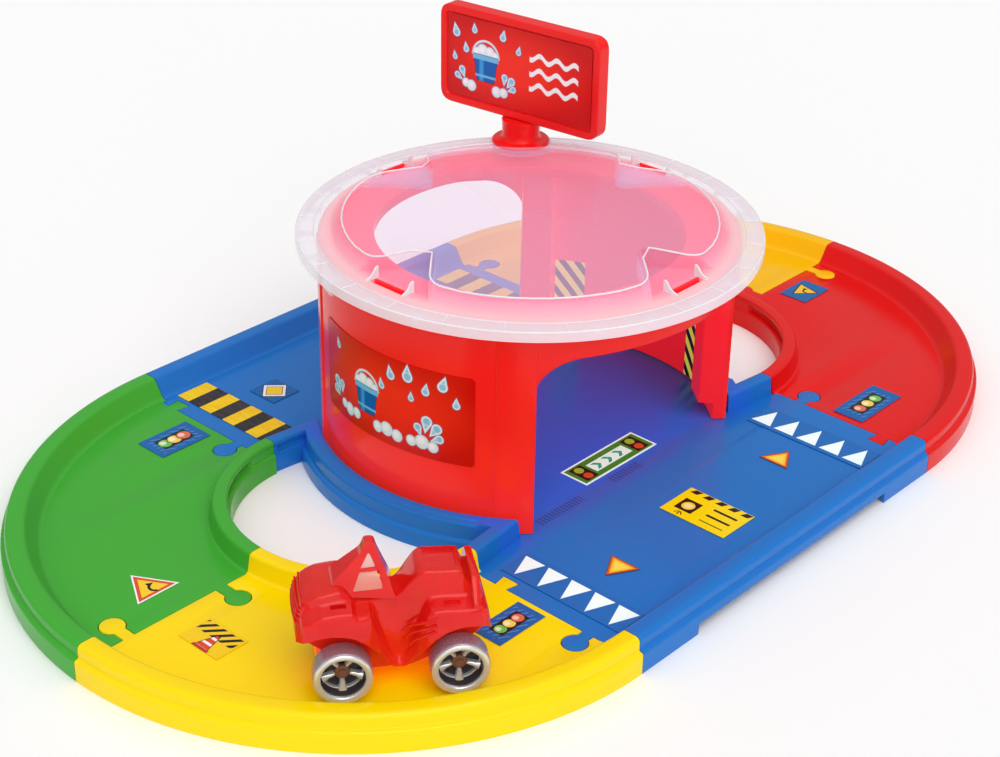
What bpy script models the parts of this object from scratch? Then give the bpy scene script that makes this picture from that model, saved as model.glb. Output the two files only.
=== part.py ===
"""Toy car wash playset.

An oval road of five puzzle pieces lies around a round wash tower with two arches and a see-through roof.
A sign turns on the roof, the roof lifts off its four hooks, and a small quad drives round the left end.
X is the long way of the oval, Y runs from the front straight to the back one, and Z is up from the ground.
"""

import math

import bmesh
import bpy
from mathutils import Matrix, Vector

# Clearances
GAP = 0.0003
JOINT_GAP = 0.0004
OVERRUN = 0.004
WELD = 0.000002
NUDGE = 0.0001

# Track section, measured from the centre of a curve or from the long axis
SHELL = 0.0022
FLOOR_TOP = 0.009
WALL_TOP = 0.020
SKIRT_R = 0.190
SKIRT_STEP = 0.0025
SKIRT_TOP = 0.012
SKIRT_STEP_RISE = 0.001
OUTER_WALL_R = SKIRT_R - SKIRT_STEP
WALL_WIDTH = 0.0165
WALL_FOOT_R = OUTER_WALL_R - WALL_WIDTH
WALL_LEAN = 0.0065
WALL_ROUND = 0.003
ROAD_FOOT = 0.0025
ROAD_FILLET = 0.002
ROAD_WIDTH = 0.0835
ROAD_OUT_R = WALL_FOOT_R - ROAD_FOOT
ROAD_IN_R = ROAD_OUT_R - ROAD_WIDTH
INNER_WALL_FOOT = 0.004
INNER_WALL_WIDTH = 0.008
INNER_WALL_ROUND = 0.0022
INNER_WALL_R = ROAD_IN_R - INNER_WALL_FOOT - INNER_WALL_WIDTH
HOLE_STEP = 0.0015
HOLE_FOOT_R = INNER_WALL_R - HOLE_STEP
HOLE_FOOT_TOP = 0.012
TRACK_STEPS = 56
SHARP_ANGLE = 32.0
FLAT_ANGLE = 0.05

# Puzzle joints
FLOOR_STEP = 0.003
FLOOR_EDGE_GAP = 0.0004
ROW_IN_STEP = 0.0155
ROW_OUT_STEP = 0.0105
ROW_IN = ROAD_IN_R + ROW_IN_STEP
ROW_OUT = ROAD_OUT_R - ROW_OUT_STEP
TAB_NECK = 0.0065
TAB_HEAD_R = 0.0065
TAB_REACH = 0.0098
CURVE_TAB_REACH = 0.013
NIB_ROOT = 0.007
NIB_TIP = 0.010
NIB_REACH = 0.0075
TAB_STEPS = 12

# Tower
TOWER_R = 0.1155
TOWER_WALL = 0.0025
TOWER_TOP = 0.1319
POST_PROUD = 0.0015
POST_OUT_R = TOWER_R + POST_PROUD
POST_DEPTH = 0.020
POST_IN_R = POST_OUT_R - POST_DEPTH
POST_START = 33.6
POST_END = 44.0
POST_WALL = 0.002
POST_FOOT_DEPTH = 0.010
POST_FOOT_R = POST_OUT_R - POST_FOOT_DEPTH
POST_FOOT_RISE = 0.010
FLANGE_WIDTH = 0.0305
FLANGE_R = TOWER_R - FLANGE_WIDTH
FLANGE_LIP = 0.0035
FLANGE_LIP_WALL = 0.002
ARCH_TURN = 43.63
ARCH_HALF = TOWER_R * math.cos(math.radians(ARCH_TURN))
ARCH_TOP = 0.112
ARCH_CROWN = 0.002
ARCH_ROUND = 0.020
HOOK_INSET = 0.008
HOOK_R = TOWER_R - HOOK_INSET
HOOK_LENGTH = 0.020
HOOK_WALL = 0.002
HOOK_RISE = 0.0055
HOOK_BEAD = 0.0032
HOOK_BEAD_RISE = 0.0014
TOWER_STEPS = 48

# Centre base
PLATE_OVERLAP = 0.001
TOWER_CLEAR = 0.0031
LEDGE_R = TOWER_R + TOWER_CLEAR
LEDGE_WIDTH = 0.0114
LEDGE_OUT_R = LEDGE_R + LEDGE_WIDTH
LEDGE_STEP = 0.0025
LEDGE_UPPER_R = LEDGE_OUT_R - LEDGE_STEP
LEDGE_ROUND = 0.002
LEDGE_STEP_TOP = 0.009
LEDGE_INSET = 0.00245
LEDGE_HALF_ANGLE = math.degrees(math.asin((INNER_WALL_R - LEDGE_INSET) / LEDGE_R))
CURVE_X = LEDGE_OUT_R - FLOOR_STEP
INNER_WALL_SHIFT = 0.0045
INNER_WALL_RUN = 0.042
SKIRT_LIFT = 0.003
FOOT_LENGTH = 0.044
FOOT_START = CURVE_X - FOOT_LENGTH

# Roof
ROOF_WALL = 0.0018
ROOF_OVERHANG = 0.0122
ROOF_R = TOWER_R + ROOF_OVERHANG
ROOF_EDGE_ROUND = 0.0012
ROOF_LIP_DROP = 0.0055
RIM_STEP = 0.001
RIM_IN_R = HOOK_R + RIM_STEP
PLATEAU_RISE = 0.006
PLATEAU_R = RIM_IN_R - PLATEAU_RISE
DOME_RISE = 0.0125
POCKET_RUN = 0.0245
POCKET_TIP_R = PLATEAU_R - POCKET_RUN
POCKET_HALF = 0.021
POCKET_ROUND = 0.004
SLOT_LENGTH = 0.024
SLOT_WIDTH = 0.005
BOSS_R = 0.0186
BOSS_RISE = 0.0064
BOSS_CLEAR = 0.0004
PIN_R = 0.005
PIN_LENGTH = 0.0075

# Sign
SIGN_INSET = 0.0115
SIGN_AXIS_R = TOWER_R - SIGN_INSET
SIGN_AXIS_ANGLE = 45.0
SIGN_TURN = 96.0
SIGN_FLANGE_R = 0.017
SIGN_FLANGE_RISE = 0.002
SIGN_NECK_R = 0.0106
SIGN_FLARE = 0.0014
SIGN_NECK_RISE = 0.0145
BOARD_WIDTH = 0.113
BOARD_HEIGHT = 0.060
BOARD_DEPTH = 0.010
BOARD_ROUND = 0.008
BOARD_FRAME = 0.005
BOARD_RECESS = 0.0015

# Labels
LABEL_WALL = 0.0002
SIGN_LABEL_WALL = 0.0003
WALL_LABEL_HALF_ANGLE = 27.0
WALL_LABEL_BOTTOM = 0.047
WALL_LABEL_TOP = 0.099
POST_LABEL_BOTTOM = 0.0105
POST_LABEL_TOP = 0.060
POST_LABEL_FRONT = (-27.0, -17.0)
POST_LABEL_BACK = (23.5, 33.0)
LABEL_STEPS = 8

# Quad
PATH_MARGIN = 0.0285
PATH_R = ROAD_OUT_R - PATH_MARGIN
QUAD_ANGLE = -128.0
WHEELBASE = 0.0542
WHEEL_R = 0.014
WHEEL_LIFT = 0.0008
TYRE_WIDTH = 0.012
RIM_R = 0.0104
TYRE_WEB = 0.0024
TYRE_ROUND = 0.001
TRACK_WIDTH = 0.050
SPOKE_DEPTH = 0.0026
SPOKE_HUB_R = 0.0042
SPOKE_WIDTH = 0.0028
SPOKE_COUNT = 5
AXLE_R = 0.002
AXLE_RECESS = 0.0055
BODY_HALF = 0.011
SHOULDER_HALF = 0.023
BODY_TOP = 0.084
ARCH_CLEAR = 0.0025
ARCH_BACK_ANGLE = 200
ARCH_FRONT_ANGLE = 28
CHASSIS_HALF = 0.0085
CHASSIS_BOTTOM = 0.0185
CHASSIS_TOP = 0.030
CHASSIS_FRONT = 0.038
CHASSIS_REAR = 0.034
BODY_BEVEL = 0.0012
WHEEL_STEPS = 20

PARTS = bpy.data.collections.new("toy_car_wash")
CUTTERS = bpy.data.collections.new("cutters")


def clear_scene():
    """Empty scene with one collection for the parts and one for the cutters."""
    for obj in list(bpy.data.objects):
        bpy.data.objects.remove(obj, do_unlink=True)
    bpy.context.scene.collection.children.link(PARTS)
    bpy.context.scene.collection.children.link(CUTTERS)


def plastic(name, color, roughness=0.35, metallic=0.0, alpha=1.0):
    """Principled material of one plain colour."""
    material = bpy.data.materials.new(name)
    material.use_nodes = True
    shader = material.node_tree.nodes["Principled BSDF"]
    shader.inputs["Base Color"].default_value = (*color, 1.0)
    shader.inputs["Roughness"].default_value = roughness
    shader.inputs["Metallic"].default_value = metallic
    shader.inputs["Alpha"].default_value = alpha
    material.diffuse_color = (*color, alpha)
    return material


def placed(name, mesh, matrix=None):
    """New object from a mesh, in the parts collection."""
    if matrix is not None:
        mesh.transform(matrix)
    obj = bpy.data.objects.new(name, mesh)
    PARTS.objects.link(obj)
    return obj


def helper(obj):
    """Turns an object into a cutter that isn't shown."""
    PARTS.objects.unlink(obj)
    CUTTERS.objects.link(obj)
    obj.hide_render = True
    obj.display_type = "WIRE"
    return obj


def combined(target, other, operation, solver="EXACT"):
    """Boolean of one object with a helper."""
    modifier = target.modifiers.new(other.name, "BOOLEAN")
    modifier.operation = operation
    modifier.solver = solver
    modifier.object = other
    if other.name not in CUTTERS.objects:
        helper(other)
    return target


def evaluated_mesh(obj):
    """The mesh of an object with its modifiers worked out."""
    bpy.context.view_layer.update()
    graph = bpy.context.evaluated_depsgraph_get()
    return bpy.data.meshes.new_from_object(obj.evaluated_get(graph))


def baked(obj):
    """The object with its modifiers worked out into its mesh."""
    mesh = evaluated_mesh(obj)
    obj.modifiers.clear()
    obj.data = mesh
    return obj


def finish(obj, material):
    """Material and smooth shading with sharp edges."""
    obj.data.materials.clear()
    obj.data.materials.append(material)
    obj.data.shade_smooth()
    obj.data.set_sharp_from_angle(angle=math.radians(SHARP_ANGLE))
    return obj


def welded(mesh):
    """Joins the loose caps of a converted curve to its sides and makes each cap one face."""
    shape = bmesh.new()
    shape.from_mesh(mesh)
    bmesh.ops.remove_doubles(shape, verts=shape.verts, dist=WELD)
    bmesh.ops.dissolve_limit(
        shape, angle_limit=math.radians(FLAT_ANGLE), verts=shape.verts, edges=shape.edges
    )
    bmesh.ops.recalc_face_normals(shape, faces=shape.faces)
    shape.to_mesh(mesh)
    shape.free()
    return mesh


def flat_solid(name, loops, bottom, top, matrix=None):
    """Flat piece with the given outline, and holes if more loops are given."""
    curve = bpy.data.curves.new(name, "CURVE")
    curve.dimensions = "2D"
    curve.fill_mode = "BOTH"
    curve.extrude = (top - bottom) / 2
    for loop in loops:
        spline = curve.splines.new("POLY")
        spline.points.add(len(loop) - 1)
        for point, (x, y) in zip(spline.points, loop):
            point.co = (x, y, 0, 1)
        spline.use_cyclic_u = True
    guide = bpy.data.objects.new(name + "_outline", curve)
    PARTS.objects.link(guide)
    guide.location.z = (top + bottom) / 2
    mesh = welded(evaluated_mesh(guide))
    mesh.transform(guide.matrix_world)
    bpy.data.objects.remove(guide)
    return placed(name, mesh, matrix)


def upright(angle=0.0, centre=(0, 0)):
    """Matrix that stands an outline up, so that its y becomes the height, and turns it about Z."""
    place = Matrix.Translation((centre[0], centre[1], 0))
    turn = Matrix.Rotation(math.radians(angle), 4, "Z")
    return place @ turn @ Matrix.Rotation(math.pi / 2, 4, "X")


def clockwise(profile):
    """The profile in the order that runs down its outer side."""
    area = 0
    for (r, z), (next_r, next_z) in zip(profile, profile[1:] + profile[:1]):
        area += r * next_z - next_r * z
    return profile if area < 0 else profile[::-1]


def turned(name, profile, steps, closed=True, angle=360.0, start=0.0, matrix=None):
    """Profile of radius and height, turned about Z."""
    points = clockwise(profile) if closed else profile
    mesh = bpy.data.meshes.new(name)
    count = len(points)
    on_axis = closed and min(r for r, z in points) == 0
    edges = [(i, i + 1) for i in range(count - 1)]
    if closed:
        if on_axis:
            first = next(i for i in range(count) if points[i][0] == 0 and points[i - 1][0] == 0)
            points = points[first:] + points[:first]
        else:
            edges.append((count - 1, 0))
    mesh.from_pydata([(r, 0, z) for r, z in points], edges, [])
    obj = placed(name, mesh)
    screw = obj.modifiers.new("turn", "SCREW")
    screw.axis = "Z"
    screw.angle = math.radians(angle)
    screw.steps = steps
    screw.render_steps = steps
    screw.use_merge_vertices = True
    screw.merge_threshold = WELD
    baked(obj)
    obj.data.transform(Matrix.Rotation(math.radians(start), 4, "Z"))
    if matrix is not None:
        obj.data.transform(matrix)
    return obj


def thickened(obj, thickness, offset=-1.0):
    """Open surface made a shell."""
    solidify = obj.modifiers.new("shell", "SOLIDIFY")
    solidify.thickness = thickness
    solidify.offset = offset
    solidify.use_even_offset = True
    return baked(obj)


def beveled(obj, width, segments=1, limit=40.0):
    """Rounded edges."""
    bevel = obj.modifiers.new("edges", "BEVEL")
    bevel.width = width
    bevel.segments = segments
    bevel.limit_method = "ANGLE"
    bevel.angle_limit = math.radians(limit)
    return baked(obj)


def box(name, low, high, matrix=None):
    """Box between two corners."""
    shape = bmesh.new()
    bmesh.ops.create_cube(shape, size=1)
    size = [b - a for a, b in zip(low, high)]
    middle = [(a + b) / 2 for a, b in zip(low, high)]
    bmesh.ops.scale(shape, vec=size, verts=shape.verts)
    bmesh.ops.translate(shape, vec=middle, verts=shape.verts)
    mesh = bpy.data.meshes.new(name)
    shape.to_mesh(mesh)
    shape.free()
    return placed(name, mesh, matrix)


def cylinder(name, radius, bottom, top, steps, centre=(0, 0), matrix=None):
    """Upright cylinder."""
    shape = bmesh.new()
    bmesh.ops.create_cone(
        shape, cap_ends=True, segments=steps, radius1=radius, radius2=radius, depth=top - bottom
    )
    middle = (centre[0], centre[1], (top + bottom) / 2)
    bmesh.ops.translate(shape, vec=middle, verts=shape.verts)
    mesh = bpy.data.meshes.new(name)
    shape.to_mesh(mesh)
    shape.free()
    return placed(name, mesh, matrix)


def polar(radius, angle, centre=(0, 0)):
    """Point at a radius and an angle in degrees."""
    turn = math.radians(angle)
    return (centre[0] + radius * math.cos(turn), centre[1] + radius * math.sin(turn))


def arc(radius, start, end, steps, centre=(0, 0)):
    """Points along an arc, both ends included."""
    return [polar(radius, start + (end - start) * i / steps, centre) for i in range(steps + 1)]


def circle(radius, steps, centre=(0, 0)):
    """Points round a circle."""
    return arc(radius, 0, 360, steps, centre)[:-1]


def rounded_rectangle(width, height, radius, steps=4, centre=(0, 0)):
    """Rectangle with round corners."""
    x = width / 2 - radius
    y = height / 2 - radius
    points = []
    for sign_x, sign_y, start in ((1, 1, 0), (-1, 1, 90), (-1, -1, 180), (1, -1, 270)):
        corner = (centre[0] + sign_x * x, centre[1] + sign_y * y)
        points += arc(radius, start, start + 90, steps, corner)
    return points


def sector(inner, outer, start, end, steps=6):
    """Part of a ring in plan."""
    return arc(inner, start, end, steps) + arc(outer, end, start, steps)


# Track pieces


def outer_wall_section():
    """Points from the road's outer edge over the wall and down the skirt."""
    lean_r = WALL_FOOT_R + WALL_LEAN
    return [
        (WALL_FOOT_R, FLOOR_TOP + ROAD_FILLET),
        (lean_r, WALL_TOP - ROAD_FILLET / 3),
        (lean_r + WALL_ROUND / 2, WALL_TOP),
        (OUTER_WALL_R - WALL_ROUND, WALL_TOP),
        (OUTER_WALL_R - WALL_ROUND / 4, WALL_TOP - WALL_ROUND / 3),
        (OUTER_WALL_R, WALL_TOP - WALL_ROUND),
        (OUTER_WALL_R, SKIRT_TOP + SKIRT_STEP_RISE),
        (SKIRT_R, SKIRT_TOP),
        (SKIRT_R, 0),
    ]


def ring_section():
    """The whole section of a curve, from the hole's edge to the outer skirt."""
    wall_out = INNER_WALL_R + INNER_WALL_WIDTH
    return [
        (HOLE_FOOT_R, 0),
        (HOLE_FOOT_R, HOLE_FOOT_TOP),
        (INNER_WALL_R, HOLE_FOOT_TOP + SKIRT_STEP_RISE),
        (INNER_WALL_R, WALL_TOP - INNER_WALL_ROUND),
        (INNER_WALL_R + INNER_WALL_ROUND, WALL_TOP),
        (wall_out - INNER_WALL_ROUND, WALL_TOP),
        (wall_out, WALL_TOP - INNER_WALL_ROUND),
        (wall_out + SKIRT_STEP_RISE, FLOOR_TOP + WALL_ROUND),
        (ROAD_IN_R, FLOOR_TOP),
        (ROAD_OUT_R, FLOOR_TOP),
    ] + outer_wall_section()


def tab_outline(reach, grow, start):
    """Round-headed tab, across and outward from its joint line."""
    half = TAB_NECK / 2 + grow
    radius = TAB_HEAD_R + grow
    lean = math.degrees(math.asin(half / radius))
    head = arc(radius, 270 - lean, lean - 90, TAB_STEPS, (0, reach))
    return [(-half, start)] + head + [(half, start)]


def nib_outline(grow, start):
    """Short tongue that widens towards its tip."""
    root = NIB_ROOT / 2 + grow
    tip = NIB_TIP / 2 + grow
    reach = NIB_REACH + grow
    return [(-root, start), (-tip, reach), (tip, reach), (root, start)]


def along(points, origin, run, outward):
    """Outline of a tab or socket placed on a joint line."""
    placed_points = []
    for across, out in points:
        x = origin[0] + run[0] * across + outward[0] * out
        y = origin[1] + run[1] * across + outward[1] * out
        placed_points.append((x, y))
    return placed_points


def curve_outline(side_x, side_y, inner_tab):
    """Plan of a quarter of the road with the tabs and sockets of its two joints."""
    reach = SKIRT_R + OVERRUN
    step = FLOOR_STEP
    edge = step + GAP
    half = GAP / 2
    tab_row = ROW_IN if inner_tab else ROW_OUT
    other_row = ROW_OUT if inner_tab else ROW_IN
    down = (0, -1)
    out = (1, 0)
    nib = along(nib_outline(0, -GAP), (step, other_row), down, (-1, 0))
    socket = along(tab_outline(TAB_REACH, JOINT_GAP, GAP), (step, tab_row), down, (1, 0))
    own_tab = along(tab_outline(CURVE_TAB_REACH, 0, -half), (tab_row, 0), out, (0, -1))
    far_socket = along(tab_outline(CURVE_TAB_REACH, JOINT_GAP, half), (other_row, 0), out, (0, 1))
    base_joint = socket + nib if tab_row > other_row else nib + socket
    curve_joint = far_socket + own_tab if tab_row > other_row else own_tab + far_socket
    points = [(GAP, reach), (GAP, ROAD_OUT_R - FLOOR_EDGE_GAP / 4), (edge, ROAD_OUT_R - FLOOR_EDGE_GAP / 4)]
    points += base_joint
    points += [(edge, ROAD_IN_R - FLOOR_STEP / 2), (GAP, ROAD_IN_R - FLOOR_STEP / 2), (GAP, half)]
    points += curve_joint
    points += [(reach, half), (reach, reach)]
    return [(side_x * (CURVE_X + a), side_y * b) for a, b in points]


def track_curve(name, side_x, side_y, inner_tab, material):
    """A quarter of the road, cut from a whole ring."""
    ring = turned(name, ring_section(), TRACK_STEPS, closed=False)
    thickened(ring, SHELL)
    ring.data.transform(Matrix.Translation((side_x * CURVE_X, 0, 0)))
    plan = curve_outline(side_x, side_y, inner_tab)
    quarter = flat_solid(name + "_plan", [plan], -OVERRUN, WALL_TOP + OVERRUN)
    combined(ring, quarter, "INTERSECT")
    baked(ring)
    return finish(ring, material)


def base_side(side):
    """Joint line of the base at one end, from front to back."""
    edge = side * (CURVE_X + FLOOR_STEP)
    up = (0, 1)
    out = (side, 0)
    back = (-side, 0)
    tab = tab_outline(TAB_REACH, 0, 0)
    socket = nib_outline(JOINT_GAP, 0)
    front_tab_row = ROW_OUT if side < 0 else ROW_IN
    back_tab_row = ROW_IN if side < 0 else ROW_OUT
    front_nib_row = ROW_IN if side < 0 else ROW_OUT
    back_nib_row = ROW_OUT if side < 0 else ROW_IN
    front = [
        (front_tab_row, along(tab, (edge, -front_tab_row), up, out)),
        (front_nib_row, along(socket, (edge, -front_nib_row), up, back)),
    ]
    rear = [
        (back_tab_row, along(tab, (edge, back_tab_row), up, out)),
        (back_nib_row, along(socket, (edge, back_nib_row), up, back)),
    ]
    road_out = ROAD_OUT_R - FLOOR_EDGE_GAP
    road_in = ROAD_IN_R - FLOOR_STEP / 2 + FLOOR_EDGE_GAP
    wall_end = side * (CURVE_X - NUDGE)
    wall_y = INNER_WALL_R + INNER_WALL_WIDTH / 2
    ledge_r = LEDGE_R + SHELL / 2
    turn = LEDGE_HALF_ANGLE
    middle = 0 if side > 0 else 180
    slant_out = road_out - GAP
    slant_in = road_in + GAP
    points = [(wall_end, -plate_reach()), (wall_end, -slant_out), (edge, -road_out)]
    for row, outline in sorted(front, reverse=True):
        points += outline
    points += [(edge, -road_in), (wall_end, -slant_in), (wall_end, -wall_y)]
    points += arc(ledge_r, middle - side * turn, middle + side * turn, TOWER_STEPS // 5)
    points += [(wall_end, wall_y), (wall_end, slant_in), (edge, road_in)]
    for row, outline in sorted(rear):
        points += outline
    points += [(edge, road_out), (wall_end, slant_out), (wall_end, plate_reach())]
    return points


def plate_reach():
    """How far the road plate runs under the outer walls."""
    return WALL_FOOT_R + PLATE_OVERLAP


def straight_wall(name, side):
    """Outer wall of one straight, as a shell."""
    foot = (ROAD_OUT_R - PLATE_OVERLAP / 2, FLOOR_TOP - FLOOR_EDGE_GAP)
    section = [foot] + outer_wall_section()
    shape = bmesh.new()
    start = [shape.verts.new((-CURVE_X, side * y, z)) for y, z in section]
    edges = [shape.edges.new(pair) for pair in zip(start, start[1:])]
    grown = bmesh.ops.extrude_edge_only(shape, edges=edges)["geom"]
    moved = [item for item in grown if isinstance(item, bmesh.types.BMVert)]
    bmesh.ops.translate(shape, vec=(2 * CURVE_X, 0, 0), verts=moved)
    shape.normal_update()
    if sum(face.normal.z * face.calc_area() for face in shape.faces) < 0:
        bmesh.ops.reverse_faces(shape, faces=shape.faces)
    mesh = bpy.data.meshes.new(name)
    shape.to_mesh(mesh)
    shape.free()
    return thickened(placed(name, mesh), SHELL)


def inner_wall(name, side_x, side_y):
    """Short solid wall between the road and the end hole, leaning in towards the tower."""
    half = INNER_WALL_WIDTH / 2
    middle = INNER_WALL_R + half
    section = [
        (-half, NUDGE),
        (half + SKIRT_STEP_RISE, NUDGE),
        (half + SKIRT_STEP_RISE, FLOOR_TOP + ROAD_FILLET),
        (half, WALL_TOP - INNER_WALL_ROUND),
        (half - INNER_WALL_ROUND, WALL_TOP - NUDGE),
        (INNER_WALL_ROUND - half, WALL_TOP - NUDGE),
        (-half, WALL_TOP - INNER_WALL_ROUND),
    ]
    shape = bmesh.new()
    face = shape.faces.new([shape.verts.new((CURVE_X, middle + y, z)) for y, z in section])
    grown = bmesh.ops.extrude_face_region(shape, geom=[face])["geom"]
    end_r = LEDGE_R + SHELL / 4
    for item in grown:
        if isinstance(item, bmesh.types.BMVert):
            start_y = item.co.y
            run = CURVE_X - end_r * math.cos(math.asin(start_y / end_r))
            item.co.y = start_y - INNER_WALL_SHIFT * run / INNER_WALL_RUN
            item.co.x = math.sqrt(end_r * end_r - item.co.y * item.co.y)
    bmesh.ops.scale(shape, vec=(side_x, side_y, 1), verts=shape.verts)
    bmesh.ops.triangulate(shape, faces=shape.faces)
    bmesh.ops.recalc_face_normals(shape, faces=shape.faces)
    mesh = bpy.data.meshes.new(name)
    shape.to_mesh(mesh)
    shape.free()
    return placed(name, mesh)


def ledge(name, middle):
    """Raised ring part between the tower foot and an end hole, as a shell."""
    section = [
        (LEDGE_R, FLOOR_TOP - SHELL + FLOOR_EDGE_GAP),
        (LEDGE_R, WALL_TOP - LEDGE_ROUND / 2),
        (LEDGE_R + LEDGE_ROUND / 2, WALL_TOP),
        (LEDGE_UPPER_R - LEDGE_ROUND, WALL_TOP),
        (LEDGE_UPPER_R, WALL_TOP - LEDGE_ROUND),
        (LEDGE_UPPER_R, LEDGE_STEP_TOP + SKIRT_STEP_RISE),
        (LEDGE_OUT_R, LEDGE_STEP_TOP),
        (LEDGE_OUT_R, 0),
    ]
    sweep = 2 * LEDGE_HALF_ANGLE
    start = middle - LEDGE_HALF_ANGLE
    surface = turned(name, section, TOWER_STEPS // 5, closed=False, angle=sweep, start=start)
    return thickened(surface, SHELL)


def center_base(material):
    """Both straights, the floor through the tower and the ledge rings, in one moulding."""
    outline = base_side(1) + base_side(-1)[::-1]
    base = flat_solid("center_base", [outline], FLOOR_TOP - SHELL, FLOOR_TOP)
    for side in (1, -1):
        combined(base, straight_wall(f"straight_wall_{side}", side), "UNION", "MANIFOLD")
        combined(base, ledge(f"ledge_{side}", 0 if side > 0 else 180), "UNION", "MANIFOLD")
        for side_y in (1, -1):
            wall = inner_wall(f"inner_wall_{side}_{side_y}", side, side_y)
            combined(base, wall, "UNION", "MANIFOLD")
    for side in (1, -1):
        low = min(side * (OUTER_WALL_R - SHELL), side * (SKIRT_R + OVERRUN))
        high = max(side * (OUTER_WALL_R - SHELL), side * (SKIRT_R + OVERRUN))
        lift = box(f"skirt_lift_{side}", (-FOOT_START, low, -OVERRUN), (FOOT_START, high, SKIRT_LIFT))
        combined(base, lift, "DIFFERENCE", "MANIFOLD")
    baked(base)
    return finish(base, material)


# Tower


def arch_outline():
    """Arch opening with round top corners and a slight crown."""
    spring = ARCH_TOP - ARCH_ROUND
    inner = ARCH_HALF - ARCH_ROUND
    right = arc(ARCH_ROUND, 0, 90, 6, (inner, spring))
    left = arc(ARCH_ROUND, 90, 180, 6, (-inner, spring))
    flank = ARCH_TOP + ARCH_CROWN * 3 / 4
    crown = [(inner / 2, flank), (0, ARCH_TOP + ARCH_CROWN), (-inner / 2, flank)]
    return [(ARCH_HALF, -OVERRUN)] + right + crown + left + [(-ARCH_HALF, -OVERRUN)]


def drum_walls(material):
    """Tower wall with two arches, four hollow posts, the flange and its four hooks."""
    bottom = FLOOR_TOP + GAP
    inner = TOWER_R - TOWER_WALL
    profile = [
        (TOWER_R, TOWER_TOP),
        (TOWER_R, bottom),
        (inner, bottom),
        (inner, TOWER_TOP - TOWER_WALL),
        (FLANGE_R + FLANGE_LIP_WALL, TOWER_TOP - TOWER_WALL),
        (FLANGE_R + FLANGE_LIP_WALL, TOWER_TOP - TOWER_WALL - FLANGE_LIP),
        (FLANGE_R, TOWER_TOP - TOWER_WALL - FLANGE_LIP),
        (FLANGE_R, TOWER_TOP),
    ]
    walls = turned("drum_walls", profile, TOWER_STEPS)
    reach = POST_OUT_R + OVERRUN
    arches = flat_solid("arches", [arch_outline()], -reach, reach, upright())
    combined(walls, arches, "DIFFERENCE")
    spread = math.degrees(POST_WALL / POST_IN_R)
    post_top = TOWER_TOP - TOWER_WALL / 2
    starts = (POST_START, 180 - POST_END, 180 + POST_START, 360 - POST_END)
    width = POST_END - POST_START
    for i, start in enumerate(starts):
        plan = sector(POST_IN_R, POST_OUT_R, start, start + width, 2)
        combined(walls, flat_solid(f"post_{i}", [plan], bottom + NUDGE, post_top), "UNION")
    for i, start in enumerate(starts):
        plan = sector(POST_IN_R + POST_WALL, inner, start + spread, start + width - spread, 2)
        hollow = flat_solid(f"post_hollow_{i}", [plan], -OVERRUN, TOWER_TOP - 2 * TOWER_WALL)
        combined(walls, hollow, "DIFFERENCE")
    foot = cylinder("post_foot", POST_FOOT_R, -OVERRUN, bottom + POST_FOOT_RISE, TOWER_STEPS)
    combined(walls, foot, "DIFFERENCE")
    for i in range(4):
        turn = Matrix.Rotation(math.pi / 2 * i, 4, "Z")
        half = HOOK_LENGTH / 2
        low = (HOOK_R - HOOK_WALL / 2, -half, TOWER_TOP - TOWER_WALL / 2)
        high = (HOOK_R + HOOK_WALL / 2, half, TOWER_TOP + HOOK_RISE - HOOK_BEAD_RISE / 2)
        combined(walls, box(f"hook_{i}", low, high, turn), "UNION")
        low = (HOOK_R - HOOK_BEAD / 2, -half + HOOK_WALL / 2, TOWER_TOP + HOOK_RISE - HOOK_BEAD_RISE)
        high = (HOOK_R + HOOK_BEAD / 2, half - HOOK_WALL / 2, TOWER_TOP + HOOK_RISE)
        combined(walls, box(f"hook_bead_{i}", low, high, turn), "UNION")
    baked(walls)
    return finish(walls, material)


# Roof


def dome_points(top, edge_r, edge_z, steps):
    """Points of a shallow dome from its top to its edge."""
    rise = top - edge_z
    radius = (edge_r * edge_r + rise * rise) / (2 * rise)
    points = []
    for i in range(steps + 1):
        r = edge_r * i / steps
        points.append((r, top - radius + math.sqrt(radius * radius - r * r)))
    return points


def roof_solid(name, inset):
    """Filled form of the roof, drawn in all round by the inset."""
    rim = TOWER_TOP + GAP + ROOF_WALL - inset
    slope_inset = inset * math.sqrt(2) - inset
    plateau_r = PLATEAU_R - slope_inset
    plateau_z = rim + PLATEAU_RISE
    outer_r = ROOF_R - inset
    bottom = TOWER_TOP + GAP + ROOF_WALL - ROOF_LIP_DROP - (OVERRUN if inset else 0)
    profile = dome_points(plateau_z + DOME_RISE, plateau_r, plateau_z, 5)
    profile += [
        (plateau_r + PLATEAU_RISE, rim),
        (outer_r - ROOF_EDGE_ROUND, rim),
        (outer_r, rim - ROOF_EDGE_ROUND),
        (outer_r, bottom),
        (0, bottom),
    ]
    return turned(name, profile, TOWER_STEPS)


def pocket_plan(grow, angle):
    """Plan of a V-shaped pocket around a roof slot."""
    run = PLATEAU_R - POCKET_TIP_R
    slope = math.degrees(math.atan2(POCKET_HALF, run))
    tip = (POCKET_TIP_R + POCKET_ROUND, 0)
    radius = POCKET_ROUND + grow
    nose = arc(radius, 90 + slope, 270 - slope, 4, tip)
    end = RIM_IN_R + GAP
    half = radius / math.cos(math.radians(slope)) + (end - tip[0]) * math.tan(math.radians(slope))
    points = [(end, half)] + nose + [(end, -half)]
    turn = Matrix.Rotation(math.radians(angle), 2)
    return [tuple(turn @ Vector(point)) for point in points]


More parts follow.
